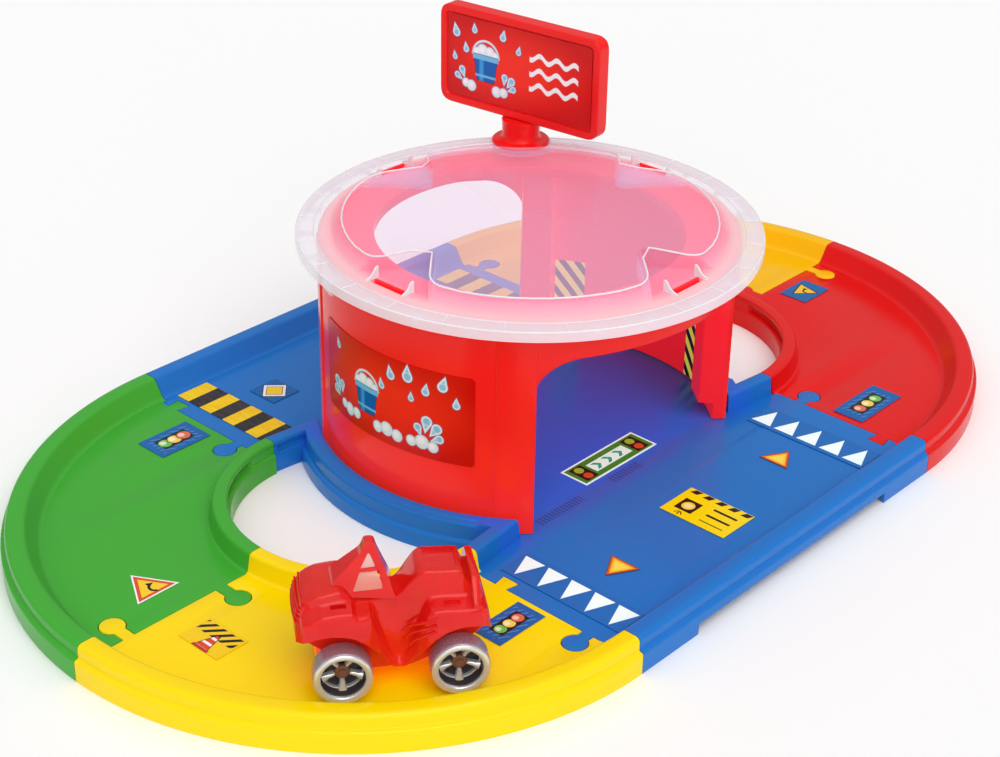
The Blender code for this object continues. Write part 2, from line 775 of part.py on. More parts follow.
def roof(material):
    """Thin see-through roof with four pockets, four slots and the boss for the sign."""
    top = TOWER_TOP + GAP + ROOF_WALL + PLATEAU_RISE + DOME_RISE + OVERRUN
    centre = polar(SIGN_AXIS_R, SIGN_AXIS_ANGLE)
    shells = []
    for name, inset in (("roof", 0.0), ("roof_hollow", ROOF_WALL)):
        solid = roof_solid(name, inset)
        floor = TOWER_TOP + GAP + ROOF_WALL - inset
        boss_top = floor + BOSS_RISE
        for i in range(4):
            plan = pocket_plan(inset, 90 * i)
            pocket = flat_solid(f"{name}_pocket_{i}", [plan], floor, top)
            combined(solid, pocket, "DIFFERENCE")
        boss_bottom = floor - OVERRUN / 2
        boss = cylinder(f"{name}_boss", BOSS_R - inset, boss_bottom, boss_top, WHEEL_STEPS, centre)
        combined(solid, boss, "UNION")
        seat_r = BOSS_R + BOSS_CLEAR + inset
        seat = cylinder(f"{name}_seat", seat_r, boss_top - GAP / 4, top, WHEEL_STEPS, centre)
        combined(solid, seat, "DIFFERENCE")
        baked(solid)
        shells.append(solid)
    shell, hollow = shells
    combined(shell, hollow, "DIFFERENCE")
    floor = TOWER_TOP + GAP
    for i in range(4):
        half = SLOT_LENGTH / 2
        low = (HOOK_R - SLOT_WIDTH / 2, -half, floor - OVERRUN / 4)
        high = (HOOK_R + SLOT_WIDTH / 2, half, top)
        slot = box(f"roof_slot_{i}", low, high, Matrix.Rotation(math.pi / 2 * i, 4, "Z"))
        combined(shell, slot, "DIFFERENCE")
    hole = cylinder("pin_hole", PIN_R + GAP, floor, top, WHEEL_STEPS, centre)
    combined(shell, hole, "DIFFERENCE")
    baked(shell)
    return finish(shell, material)


# Sign


def sign_seat():
    """Height of the face that the sign's flange turns on."""
    return TOWER_TOP + GAP + ROOF_WALL + BOSS_RISE - GAP / 4


def sign_parent():
    """Empty on the sign's turning axis."""
    axis = bpy.data.objects.new("sign_axis", None)
    x, y = polar(SIGN_AXIS_R, SIGN_AXIS_ANGLE)
    axis.location = (x, y, sign_seat())
    PARTS.objects.link(axis)
    return axis


def sign_post(material, axis):
    """Turned post with the flange, the neck and the pin in the roof."""
    base = GAP
    top = SIGN_NECK_RISE
    profile = [
        (0, top),
        (SIGN_NECK_R + SIGN_FLARE, top),
        (SIGN_NECK_R, top - 2 * SIGN_FLARE),
        (SIGN_NECK_R, base + SIGN_FLANGE_RISE + 2 * SIGN_FLARE),
        (SIGN_NECK_R + SIGN_FLARE, base + SIGN_FLANGE_RISE + SIGN_FLARE / 2),
        (SIGN_FLANGE_R - SIGN_FLARE / 2, base + SIGN_FLANGE_RISE),
        (SIGN_FLANGE_R, base + SIGN_FLANGE_RISE / 2),
        (SIGN_FLANGE_R, base),
        (PIN_R, base),
        (PIN_R, base - PIN_LENGTH),
        (0, base - PIN_LENGTH),
    ]
    post = turned("sign_post", profile, WHEEL_STEPS)
    post.parent = axis
    return finish(post, material)


def sign_board(material, axis):
    """Board with a raised frame on both faces."""
    middle = SIGN_NECK_RISE + GAP + BOARD_HEIGHT / 2
    outline = rounded_rectangle(BOARD_WIDTH, BOARD_HEIGHT, BOARD_ROUND, 4, (0, middle))
    turn = upright(SIGN_TURN)
    board = flat_solid("sign_board", [outline], -BOARD_DEPTH / 2, BOARD_DEPTH / 2, turn)
    panel_size = (BOARD_WIDTH - 2 * BOARD_FRAME, BOARD_HEIGHT - 2 * BOARD_FRAME)
    panel = rounded_rectangle(*panel_size, BOARD_ROUND - BOARD_FRAME, 3, (0, middle))
    floor = BOARD_DEPTH / 2 - BOARD_RECESS
    for side, low, high in ((1, floor, floor + OVERRUN), (-1, -floor - OVERRUN, -floor)):
        combined(board, flat_solid(f"board_recess_{side}", [panel], low, high, turn), "DIFFERENCE")
    baked(board)
    board.parent = axis
    return finish(board, material)


def sign_label(name, side, material, axis):
    """Printed label in the recess of one face."""
    middle = SIGN_NECK_RISE + GAP + BOARD_HEIGHT / 2
    trim = BOARD_FRAME + GAP
    outline = rounded_rectangle(
        BOARD_WIDTH - 2 * trim, BOARD_HEIGHT - 2 * trim, BOARD_ROUND - trim, 3, (0, middle)
    )
    start = BOARD_DEPTH / 2 - BOARD_RECESS + GAP
    low = min(side * start, side * (start + SIGN_LABEL_WALL))
    label = flat_solid(name, [outline], low, low + SIGN_LABEL_WALL, upright(SIGN_TURN))
    label.parent = axis
    return finish(label, material)


# Labels


def curved_label(name, radius, start, end, bottom, top, material):
    """Thin printed label on a round wall."""
    line = [(radius, top), (radius, bottom)]
    label = turned(name, line, LABEL_STEPS, closed=False, angle=end - start, start=start)
    thickened(label, SIGN_LABEL_WALL, 1.0)
    return finish(label, material)


def floor_label(name, outline, material):
    """Thin printed label lying on the road."""
    bottom = FLOOR_TOP + GAP
    return finish(flat_solid(name, [outline], bottom, bottom + LABEL_WALL), material)


def rectangle(centre, width, length):
    """Rectangle square to the long axis."""
    x = width / 2
    y = length / 2
    corners = ((-x, -y), (x, -y), (x, y), (-x, y))
    return [(centre[0] + a, centre[1] + b) for a, b in corners]


def triangle(centre, side, angle):
    """Equal-sided triangle with one corner at the given angle."""
    radius = side / math.sqrt(3)
    return [polar(radius, angle + 120 * i, centre) for i in range(3)]


ROAD_MIDDLE = (ROAD_IN_R + ROAD_OUT_R) / 2

HAZARD_WIDTH = 0.022
HAZARD_MARGIN = 0.0035
HAZARD_SIZE = (HAZARD_WIDTH, ROAD_WIDTH - HAZARD_MARGIN)
ROW_WIDTH = 0.021
ROW_MARGIN = 0.0059
ROW_SIZE = (ROW_WIDTH, ROAD_WIDTH - ROW_MARGIN)
PRIORITY_SIZE = (0.020, 0.021)
SPEED_SIZE = (0.028, 0.0425)
EXIT_SIZE = (0.061, 0.019)
LIGHT_GREEN_SIZE = (0.034, 0.022)
LIGHT_YELLOW_SIZE = (0.033, 0.018)
LIGHT_RED_SIZE = (0.042, 0.020)
WORKS_SIZE = (0.020, 0.028)
BEND_SIZE = (0.027, 0.020)
BEND_TRIANGLE_SIDE = 0.026
WARNING_SIDE = 0.019


def straight_labels(print_material, stripe_material):
    """Labels on the blue base: places are shares of the curve centre and of the road's middle line."""
    places_shares = {
        "hazard_strip_left": (-0.854, 1.0, HAZARD_SIZE, stripe_material),
        "hazard_strip_right": (0.854, 1.0, HAZARD_SIZE, stripe_material),
        "triangle_row_left": (-0.858, -1.022, ROW_SIZE, print_material),
        "triangle_row_right": (0.800, -1.022, ROW_SIZE, print_material),
        "priority_sign": (-0.600, 1.029, PRIORITY_SIZE, print_material),
        "speed_plate": (-0.030, -1.058, SPEED_SIZE, print_material),
        "exit_plate": (0.020, -0.480, EXIT_SIZE, print_material),
    }
    for name, (x_share, y_share, size, material) in places_shares.items():
        centre = (x_share * CURVE_X, y_share * ROAD_MIDDLE)
        floor_label(name, rectangle(centre, *size), material)
    corners_shares = {
        "warning_left": (-0.596, -1.046, 180),
        "warning_right": (0.537, -1.022, 0),
    }
    for name, (x_share, y_share, angle) in corners_shares.items():
        centre = (x_share * CURVE_X, y_share * ROAD_MIDDLE)
        floor_label(name, triangle(centre, WARNING_SIDE, angle), print_material)


def curve_labels(material):
    """Labels on the curves: side, share of the road's middle line, angle about the curve's centre."""
    places_shares = {
        "light_sign_green": (-1, 1.037, 101.2, LIGHT_GREEN_SIZE),
        "light_sign_yellow": (-1, 1.004, -100.7, LIGHT_YELLOW_SIZE),
        "light_sign_red": (1, 1.056, -77.4, LIGHT_RED_SIZE),
        "works_sign": (-1, 1.061, -166.9, WORKS_SIZE),
        "bend_sign_red": (1, 1.009, -8.1, BEND_SIZE),
    }
    for name, (side, share, angle, size) in places_shares.items():
        centre = polar(share * ROAD_MIDDLE, angle, (side * CURVE_X, 0))
        floor_label(name, rectangle(centre, *size), material)
    bend_share = 1.012
    bend_angle = 168.7
    centre = polar(bend_share * ROAD_MIDDLE, bend_angle, (-CURVE_X, 0))
    floor_label("bend_sign_green", triangle(centre, BEND_TRIANGLE_SIDE, 90), material)


# Quad


def quad_parent():
    """Empty on the axis that the quad drives round, turned so that local X is its heading."""
    axis = bpy.data.objects.new("quad_axis", None)
    axis.location = (-CURVE_X, 0, 0)
    axis.rotation_euler.z = math.radians(QUAD_ANGLE - 90)
    PARTS.objects.link(axis)
    return axis


def hub_height():
    """Height of the wheel axles over the ground."""
    return FLOOR_TOP + WHEEL_LIFT + WHEEL_R


def hub_arc(hub_x, radius, start, end, steps=7):
    """Points of a wheel arch seen from the side."""
    return arc(radius, start, end, steps, (hub_x, hub_height()))


def shape_from(points_shares):
    """Side view points from shares of the half wheelbase and of the body's height."""
    return [(x * WHEELBASE / 2, z * BODY_TOP) for x, z in points_shares]


def quad_body(material, axis):
    """See-through body: narrow hull, wide shoulders over the wheels, windscreen frame and tail."""
    hull_shares = [
        (1.66, 0.40), (1.77, 0.52), (1.73, 0.63), (1.50, 0.755), (1.12, 0.815), (0.72, 0.950),
        (0.52, 1.000), (0.36, 0.990), (0.24, 0.920), (0.08, 0.775), (-0.16, 0.820), (-0.60, 0.835),
        (-1.05, 0.825), (-1.22, 0.780), (-1.36, 0.620), (-1.53, 0.590), (-1.55, 0.470), (-1.30, 0.400),
        (-0.60, 0.300), (-0.18, 0.215), (0.66, 0.215), (1.05, 0.320),
    ]
    window_shares = [(0.84, 0.800), (0.58, 0.905), (0.46, 0.925), (0.22, 0.780)]
    front_shares = [
        (1.68, 0.400), (1.76, 0.510), (1.70, 0.610), (1.48, 0.672), (0.80, 0.685), (0.42, 0.625),
        (0.26, 0.470), (0.20, 0.260), (0.34, 0.205),
    ]
    rear_shares = [
        (-1.50, 0.400), (-1.54, 0.540), (-1.36, 0.660), (-0.60, 0.690), (-0.22, 0.630), (-0.04, 0.470),
        (0.02, 0.260), (-0.12, 0.205),
    ]
    hub_x = WHEELBASE / 2
    arch_r = WHEEL_R + ARCH_CLEAR
    middle = PATH_R
    stand = Matrix.Translation((0, middle, 0)) @ upright()
    body = flat_solid("quad_body", [shape_from(hull_shares)], -BODY_HALF, BODY_HALF, stand)
    beveled(body, BODY_BEVEL)
    front = shape_from(front_shares) + hub_arc(hub_x, arch_r, ARCH_BACK_ANGLE, ARCH_FRONT_ANGLE)
    rear_start = 180 - ARCH_FRONT_ANGLE
    rear_end = 180 - ARCH_BACK_ANGLE
    rear = shape_from(rear_shares[::-1]) + hub_arc(-hub_x, arch_r, rear_start, rear_end)
    for name, outline in (("front_shoulder", front), ("rear_shoulder", rear)):
        shoulder = flat_solid(name, [outline], -SHOULDER_HALF, SHOULDER_HALF, stand)
        beveled(shoulder, BODY_BEVEL)
        for side in (1, -1):
            well_x = hub_x if name == "front_shoulder" else -hub_x
            inner = BODY_HALF - BODY_BEVEL / 4
            low = min(side * inner, side * (SHOULDER_HALF + OVERRUN))
            high = low + SHOULDER_HALF + OVERRUN - inner
            ring = circle(arch_r, WHEEL_STEPS, (well_x, hub_height()))
            well = flat_solid(f"{name}_well_{side}", [ring], low, high, stand)
            combined(shoulder, well, "DIFFERENCE")
        baked(shoulder)
        combined(body, shoulder, "UNION")
    window = flat_solid("quad_window", [shape_from(window_shares)], -SHOULDER_HALF, SHOULDER_HALF, stand)
    combined(body, window, "DIFFERENCE")
    low = (-CHASSIS_REAR - GAP, middle - CHASSIS_HALF - GAP, 0)
    high = (CHASSIS_FRONT + GAP, middle + CHASSIS_HALF + GAP, CHASSIS_TOP + GAP)
    combined(body, box("quad_hollow", low, high), "DIFFERENCE")
    for side in (1, -1):
        place = Matrix.Translation((side * hub_x, middle, hub_height()))
        across = place @ Matrix.Rotation(math.pi / 2, 4, "X")
        reach = BODY_HALF + OVERRUN
        hole = cylinder(f"axle_way_{side}", AXLE_R + 2 * GAP, -reach, reach, WHEEL_STEPS, matrix=across)
        combined(body, hole, "DIFFERENCE")
    baked(body)
    body.parent = axis
    return finish(body, material)


def quad_chassis(material, axis):
    """Block inside the body that the two axles run through."""
    low = (-CHASSIS_REAR, PATH_R - CHASSIS_HALF, CHASSIS_BOTTOM)
    high = (CHASSIS_FRONT, PATH_R + CHASSIS_HALF, CHASSIS_TOP)
    chassis = box("quad_chassis", low, high)
    beveled(chassis, BODY_BEVEL / 2)
    for side in (1, -1):
        place = Matrix.Translation((side * WHEELBASE / 2, PATH_R, hub_height()))
        across = place @ Matrix.Rotation(math.pi / 2, 4, "X")
        reach = CHASSIS_HALF + OVERRUN
        hole = cylinder(f"chassis_bore_{side}", AXLE_R + GAP, -reach, reach, WHEEL_STEPS, matrix=across)
        combined(chassis, hole, "DIFFERENCE")
    baked(chassis)
    chassis.parent = axis
    return finish(chassis, material)


def axle_parent(name, side, axis):
    """Empty on one axle, with local Z along the axle."""
    empty = bpy.data.objects.new(name, None)
    empty.parent = axis
    empty.location = (side * WHEELBASE / 2, PATH_R, hub_height())
    empty.rotation_euler.x = math.pi / 2
    PARTS.objects.link(empty)
    return empty


def axle(name, material, parent):
    """Plain round axle, its ends short of the wheels' outer faces."""
    reach = TRACK_WIDTH / 2 - AXLE_RECESS
    rod = cylinder(name, AXLE_R, -reach, reach, WHEEL_STEPS)
    rod.parent = parent
    return finish(rod, material)


def tyre(name, side, material, parent):
    """Tyre ring with a web at its inner face."""
    outer = TRACK_WIDTH / 2
    inner = outer - TYRE_WIDTH
    profile = [
        (WHEEL_R - TYRE_ROUND, outer),
        (WHEEL_R, outer - TYRE_ROUND),
        (WHEEL_R, inner + TYRE_ROUND),
        (WHEEL_R - TYRE_ROUND, inner),
        (AXLE_R + GAP, inner),
        (AXLE_R + GAP, inner + TYRE_WEB),
        (RIM_R, inner + TYRE_WEB),
        (RIM_R, outer - TYRE_ROUND / 2),
        (RIM_R + TYRE_ROUND / 2, outer),
    ]
    ring = turned(name, profile, WHEEL_STEPS)
    if side < 0:
        ring.data.transform(Matrix.Rotation(math.pi, 4, "X"))
    ring.parent = parent
    return finish(ring, material)


def spoke_outline():
    """Five spokes from the hub to the rim."""
    points = []
    rim = RIM_R - GAP
    half_rim = math.degrees(SPOKE_WIDTH / 2 / rim)
    half_hub = math.degrees(SPOKE_WIDTH / 2 / SPOKE_HUB_R)
    step = 360 / SPOKE_COUNT
    for i in range(SPOKE_COUNT):
        angle = 90 + step * i
        points.append(polar(SPOKE_HUB_R, angle - half_hub))
        points += arc(rim, angle - half_rim, angle + half_rim, 1)
        points.append(polar(SPOKE_HUB_R, angle + half_hub))
    return points


def wheel_face(name, side, material, parent):
    """Spoked face set deep in the wheel."""
    inner = TRACK_WIDTH / 2 - TYRE_WIDTH + TYRE_WEB + GAP
    hole = circle(AXLE_R + GAP, WHEEL_STEPS)
    low = min(side * inner, side * (inner + SPOKE_DEPTH))
    face = flat_solid(name, [spoke_outline(), hole], low, low + SPOKE_DEPTH)
    face.parent = parent
    return finish(face, material)


def main():
    clear_scene()
    blue = plastic("blue_plastic", (0.075, 0.175, 0.500))
    green = plastic("green_plastic", (0.075, 0.420, 0.060))
    yellow = plastic("yellow_plastic", (1.0, 0.730, 0.0))
    orange_yellow = plastic("orange_yellow_plastic", (0.980, 0.540, 0.010))
    red = plastic("red_plastic", (0.790, 0.016, 0.018))
    milky = plastic("milky_clear_plastic", (0.930, 0.900, 0.940), roughness=0.25, alpha=0.45)
    clear_red = plastic("clear_red_plastic", (0.820, 0.020, 0.015), roughness=0.2, alpha=0.8)
    lilac = plastic("lilac_grey_tyre", (0.330, 0.290, 0.370), roughness=0.45)
    silver = plastic("silver_plastic", (0.720, 0.720, 0.740), roughness=0.25, metallic=0.8)
    brown = plastic("brown_axle", (0.230, 0.110, 0.070), roughness=0.5)
    printed = plastic("printed_label", (0.090, 0.270, 0.560), roughness=0.3)
    printed_red = plastic("printed_red_label", (0.620, 0.010, 0.012), roughness=0.3)
    striped = plastic("striped_label", (0.900, 0.650, 0.030), roughness=0.3)

    center_base(blue)
    track_curve("track_green", -1, 1, True, green)
    track_curve("track_front_yellow", -1, -1, False, yellow)
    track_curve("track_rear_yellow", 1, 1, False, orange_yellow)
    track_curve("track_red", 1, -1, True, red)
    drum_walls(red)
    roof(milky)

    turn = sign_parent()
    sign_post(red, turn)
    sign_board(red, turn)
    sign_label("sign_label_front", -1, printed, turn)
    sign_label("sign_label_back", 1, printed, turn)

    straight_labels(printed, striped)
    curve_labels(printed)
    label_r = TOWER_R + GAP
    half = WALL_LABEL_HALF_ANGLE
    panel = (WALL_LABEL_BOTTOM, WALL_LABEL_TOP, printed_red)
    curved_label("wall_label_left", label_r, 180 - half, 180 + half, *panel)
    curved_label("wall_label_right", label_r, -half, half, *panel)
    strip_r = TOWER_R - TOWER_WALL - GAP - SIGN_LABEL_WALL
    strip = (POST_LABEL_BOTTOM, POST_LABEL_TOP, striped)
    curved_label("post_strip_front", strip_r, *POST_LABEL_FRONT, *strip)
    curved_label("post_strip_back", strip_r, *POST_LABEL_BACK, *strip)

    drive = quad_parent()
    quad_body(clear_red, drive)
    quad_chassis(clear_red, drive)
    for place, side in (("front", 1), ("rear", -1)):
        parent = axle_parent(f"{place}_axle_line", side, drive)
        axle(f"{place}_axle", brown, parent)
        for hand, across in (("outer", -1), ("inner", 1)):
            tyre(f"{place}_{hand}_tyre", across, lilac, parent)
            wheel_face(f"{place}_{hand}_wheel_face", across, silver, parent)


main()
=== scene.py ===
"""Toy car wash playset: an oval road of five puzzle pieces, a round tower, a clear roof, a sign and a quad."""

import math

import bmesh
import bpy
import numpy as np
from mathutils import Matrix, Vector


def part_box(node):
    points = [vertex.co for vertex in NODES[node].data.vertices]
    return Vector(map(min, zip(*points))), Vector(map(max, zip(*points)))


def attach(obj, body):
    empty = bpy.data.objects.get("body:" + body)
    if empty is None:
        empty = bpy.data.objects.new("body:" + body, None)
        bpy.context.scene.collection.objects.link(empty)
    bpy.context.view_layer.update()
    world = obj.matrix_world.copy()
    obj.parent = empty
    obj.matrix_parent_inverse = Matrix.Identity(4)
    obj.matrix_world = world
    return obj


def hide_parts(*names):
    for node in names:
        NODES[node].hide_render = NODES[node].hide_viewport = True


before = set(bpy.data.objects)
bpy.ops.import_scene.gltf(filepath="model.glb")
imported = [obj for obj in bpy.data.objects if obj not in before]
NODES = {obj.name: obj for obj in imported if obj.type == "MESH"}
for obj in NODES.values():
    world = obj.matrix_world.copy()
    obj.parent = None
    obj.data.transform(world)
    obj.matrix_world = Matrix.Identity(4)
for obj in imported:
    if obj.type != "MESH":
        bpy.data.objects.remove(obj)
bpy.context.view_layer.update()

MM = 0.001
SPECULAR = 0.22

# Colours as they look on a screen, 0 to 255

BLUE = (28, 117, 202)
GREEN = (66, 172, 52)
YELLOW = (255, 222, 0)
ORANGE_YELLOW = (252, 192, 0)
RED = (228, 14, 14)
LABEL_RED = (210, 4, 6)
LABEL_BLUE = (18, 100, 172)
INK = (30, 27, 28)
WHITE = (248, 250, 252)


def linear(color):
    """Screen colour as the shader takes it: each channel over 255, raised to about 2.2 in the sRGB way."""
    shares = np.asarray(color, float) / 255
    return tuple(np.where(shares <= 0.04045, shares / 12.92, ((shares + 0.055) / 1.055) ** 2.4)) + (1.0,)


def direction(degrees):
    """Cosine and sine of an angle."""
    return math.cos(math.radians(degrees)), math.sin(math.radians(degrees))


# Shader maths


class Wire:
    """The value that leaves a socket; sums and products of wires add Math nodes."""

    def __init__(self, finish, socket):
        self.finish = finish
        self.socket = socket

    def math(self, operation, *others):
        """A Math node of this value and any others, in their order."""
        return self.finish.node("ShaderNodeMath", {"operation": operation}, dict(enumerate((self, *others))))

    def __add__(self, other):
        return self.math("ADD", other)

    def __sub__(self, other):
        return self.math("SUBTRACT", other)

    def __mul__(self, other):
        return self.math("MULTIPLY", other)

    def __truediv__(self, other):
        return self.math("DIVIDE", other)

    def __pow__(self, other):
        return self.math("POWER", other)

    def __neg__(self):
        return self.math("MULTIPLY", -1.0)

    def __rsub__(self, other):
        return self.finish.node("ShaderNodeMath", {"operation": "SUBTRACT"}, {0: other, 1: self})

    __radd__ = __add__
    __rmul__ = __mul__

    def __abs__(self):
        return self.math("ABSOLUTE")

    def above(self, other):
        return self.math("MAXIMUM", other)

    def below(self, other):
        return self.math("MINIMUM", other)


class Finish:
    """One material: a Principled shader and what drives it, in millimetres of the object's own place."""

    def __init__(self, name, **fixed):
        self.material = bpy.data.materials.new(name)
        self.material.use_nodes = True
        self.tree = self.material.node_tree
        self.shader = self.tree.nodes["Principled BSDF"]
        self.shader.inputs["Specular IOR Level"].default_value = SPECULAR
        for key, value in fixed.items():
            self.shader.inputs[key.replace("_", " ")].default_value = value
        own = self.node("ShaderNodeTexCoord", output="Object")
        self.place = self.node("ShaderNodeVectorMath", {"operation": "SCALE"}, {0: own, "Scale": 1 / MM})
        self.x, self.y, self.z = self.split(self.place)

    def node(self, kind, settings=(), inputs=(), output=0):
        """Any node: its settings first, then the values or wires of its sockets. Returns one output."""
        made = self.tree.nodes.new(kind)
        for key, value in dict(settings).items():
            setattr(made, key, value)
        for key, value in dict(inputs).items():
            if isinstance(value, Wire):
                self.tree.links.new(value.socket, made.inputs[key])
            else:
                made.inputs[key].default_value = value
        return Wire(self, made.outputs[output])

    def split(self, vector):
        """The three parts of a vector."""
        first = self.node("ShaderNodeSeparateXYZ", inputs={0: vector})
        return [Wire(self, socket) for socket in first.socket.node.outputs]

    def feed(self, **wires):
        """Links wires to the shader's sockets, which are named with underscores."""
        for key, wire in wires.items():
            self.tree.links.new(wire.socket, self.shader.inputs[key.replace("_", " ")])
        return self

    def ramp(self, value, start, end, low=0.0, high=1.0):
        """Straight change from low to high as the value goes from start to end, held outside."""
        sockets = {"Value": value, "From Min": start, "From Max": end, "To Min": low, "To Max": high}
        return self.node("ShaderNodeMapRange", (), sockets)

    def inside(self, distance, soft=0.08):
        """1 where a distance to an edge is negative and 0 where it is positive."""
        return self.ramp(distance, soft, -soft)

    def mixed(self, mask, first, second):
        """First colour where the mask is 0, second where it is 1."""
        return self.node("ShaderNodeMix", {"data_type": "RGBA"}, {0: mask, 6: first, 7: second}, 2)

    def plain(self, color):
        """One colour all over."""
        return self.mixed(0.0, linear(color), linear(color))

    def noise(self, scale, detail=2.0, stretch=(1, 1, 1)):
        """Noise from 0 to 1, its grain given as features per metre."""
        place = self.node("ShaderNodeVectorMath", {"operation": "MULTIPLY"}, {0: self.place, 1: stretch})
        return self.node("ShaderNodeTexNoise", (), {"Vector": place, "Scale": scale * MM, "Detail": detail})

    def disc(self, u, v, radius):
        """Distance to a circle."""
        return (u * u + v * v) ** 0.5 - radius

    def slab(self, u, v, half_u, half_v):
        """Distance to a rectangle."""
        return (abs(u) - half_u).above(abs(v) - half_v)

    def convex(self, u, v, corners):
        """Distance to a convex polygon: the largest of the distances to its sides."""
        found = None
        middle = np.mean(corners, axis=0)
        for start, end in zip(corners, corners[1:] + corners[:1]):
            along = np.subtract(end, start)
            normal = np.array([along[1], -along[0]]) / np.hypot(*along)
            reach = float(normal @ start)
            if normal @ middle > reach:
                normal, reach = -normal, -reach
            side = u * float(normal[0]) + v * float(normal[1]) - reach
            found = side if found is None else found.above(side)
        return found

    def drop(self, u, v, radius, turn):
        """Distance to a water drop: a circle joined to the tangent triangle that ends in its tip."""
        cos, sin = direction(turn)
        across = u * cos + v * sin
        up = v * cos - u * sin
        tip = 2.3 * radius
        touch = radius * radius / tip
        half = math.sqrt(radius * radius - touch * touch)
        cone = self.convex(across, up, [(-half, touch), (half, touch), (0.0, tip)])
        return self.disc(across, up, radius).below(cone)

    def layer(self, color, distance, paint, soft=0.08):
        """The paint over the colour inside an edge."""
        return self.mixed(self.inside(distance, soft), color, linear(paint))


def shine(finish, color, low=0.2, high=0.32, bump=0.05, cloud=0.07):
    """Surface of a moulding: faint clouds in the colour, flow marks, a fine skin and uneven gloss."""
    value = 1 - cloud / 2 + finish.noise(11, 3.0) * cloud
    tinted = finish.node("ShaderNodeHueSaturation", (), {"Value": value, "Color": color})
    skin = finish.noise(900, 2.0)
    flow = finish.noise(38, 4.0, (1, 1, 0.25))
    height = skin * 0.35 + flow * 0.65
    normal = finish.node("ShaderNodeBump", (), {"Strength": bump, "Distance": 0.0006, "Height": height})
    gloss = finish.ramp(flow * 0.6 + skin * 0.4, 0.3, 0.7, low, high)
    return finish.feed(Base_Color=tinted, Roughness=gloss, Normal=normal)


def moulded(name, color, low=0.2, high=0.32, bump=0.05, **fixed):
    """Plastic of one colour, its roughness between low and high."""
    finish = Finish(name, **fixed)
    return shine(finish, finish.plain(color), low, high, bump)


def base_plastic():
    """Blue plastic, painted violet under the tower for the tower's shade and its red light, with short dark
    lines at both thresholds that are painted shade in fine groove lines.
    """
    finish = Finish("blue_plastic")
    # painted light: the floor under the tower turns violet, standing for the tower's shade and the red light it
    # throws there
    under = finish.ramp(abs(finish.y), 92.0, 66.0) * finish.ramp(abs(finish.x), 112.0, 104.0)
    color = finish.mixed(under, linear(BLUE), linear((46, 104, 230)))
    combs = None
    for middle, half in ((-56.5, 17.5), (-2.0, 13.0)):
        for side in (-1, 1):
            comb = finish.slab(finish.x - middle, finish.y - side * 76.0, half, 3.2)
            combs = comb if combs is None else combs.below(comb)
    teeth = (finish.x + 200).math("PINGPONG", 1.2) - 0.45
    road = finish.ramp(finish.z, 8.6, 8.9) * finish.ramp(finish.z, 9.4, 9.1)
    # painted shade: dark lines for the shade in fine groove lines at the thresholds
    groove_shade = finish.inside(combs.above(teeth), 0.12) * road
    color = finish.mixed(groove_shade * 0.72, color, linear((16, 38, 92)))
    return shine(finish, color, 0.16, 0.27, 0.045)


# Printed labels


def printed(finish, color, low=0.22, high=0.32):
    """Surface of a printed label: more even than the plastic round it, and less glossy."""
    return shine(finish, color, low, high, 0.03, 0.04)


def striped_floor(node):
    """Road strip: eight bands across it, yellow and black in turn, with a worn print."""
    low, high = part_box(node)
    finish = Finish(node + "_print")
    v = finish.y - low.y / MM
    length = (high.y - low.y) / MM
    band = v.math("PINGPONG", length / 8)
    phase = v.math("FLOORED_MODULO", length / 4)
    black = finish.inside(phase - length / 8, 0.12)
    grain = finish.noise(260, 4.0, (2.5, 0.5, 1))
    yellow = finish.mixed(finish.ramp(grain, 0.3, 0.75), linear((253, 222, 10)), linear((244, 190, 6)))
    dark = finish.mixed(finish.ramp(grain, 0.35, 0.7), linear((40, 36, 38)), linear((66, 60, 62)))
    edge = finish.inside(band - 0.22, 0.1)
    color = finish.mixed(black, yellow, dark)
    color = finish.mixed(edge * 0.35, color, linear((88, 66, 20)))
    return printed(finish, color, 0.28, 0.4)


def printed_base(node, paint, **fixed):
    """Start of a road label: its finish, the two places from its middle, its half sizes and its ground."""
    low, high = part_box(node)
    finish = Finish(node + "_print", **fixed)
    middle = (low + high) / 2 / MM
    half = (high - low) / 2 / MM
    return finish, finish.x - middle.x, finish.y - middle.y, half.x, half.y, finish.plain(paint)


def triangle_row(node, side):
    """Row of five white triangles that point away from the tower's middle, on a deeper blue strip."""
    finish, u, v, half_u, half_v, color = printed_base(node, (26, 110, 192), Emission_Strength=1.0)
    pitch = half_v / 2.5
    local = (v + half_v).math("FLOORED_MODULO", pitch) - pitch / 2
    across = u * side
    shape = finish.convex(across, local, [(-half_u + 3, -6.5), (-half_u + 3, 6.5), (half_u - 1.6, 0.0)])
    color = finish.layer(color, shape, WHITE)
    # painted light: the white triangles glow faintly blue-green, which cancels the red light cast on them
    finish.feed(Emission_Color=finish.mixed(finish.inside(shape), (0, 0, 0, 1), (0.02, 0.16, 0.13, 1)))
    return printed(finish, color, 0.2, 0.3)


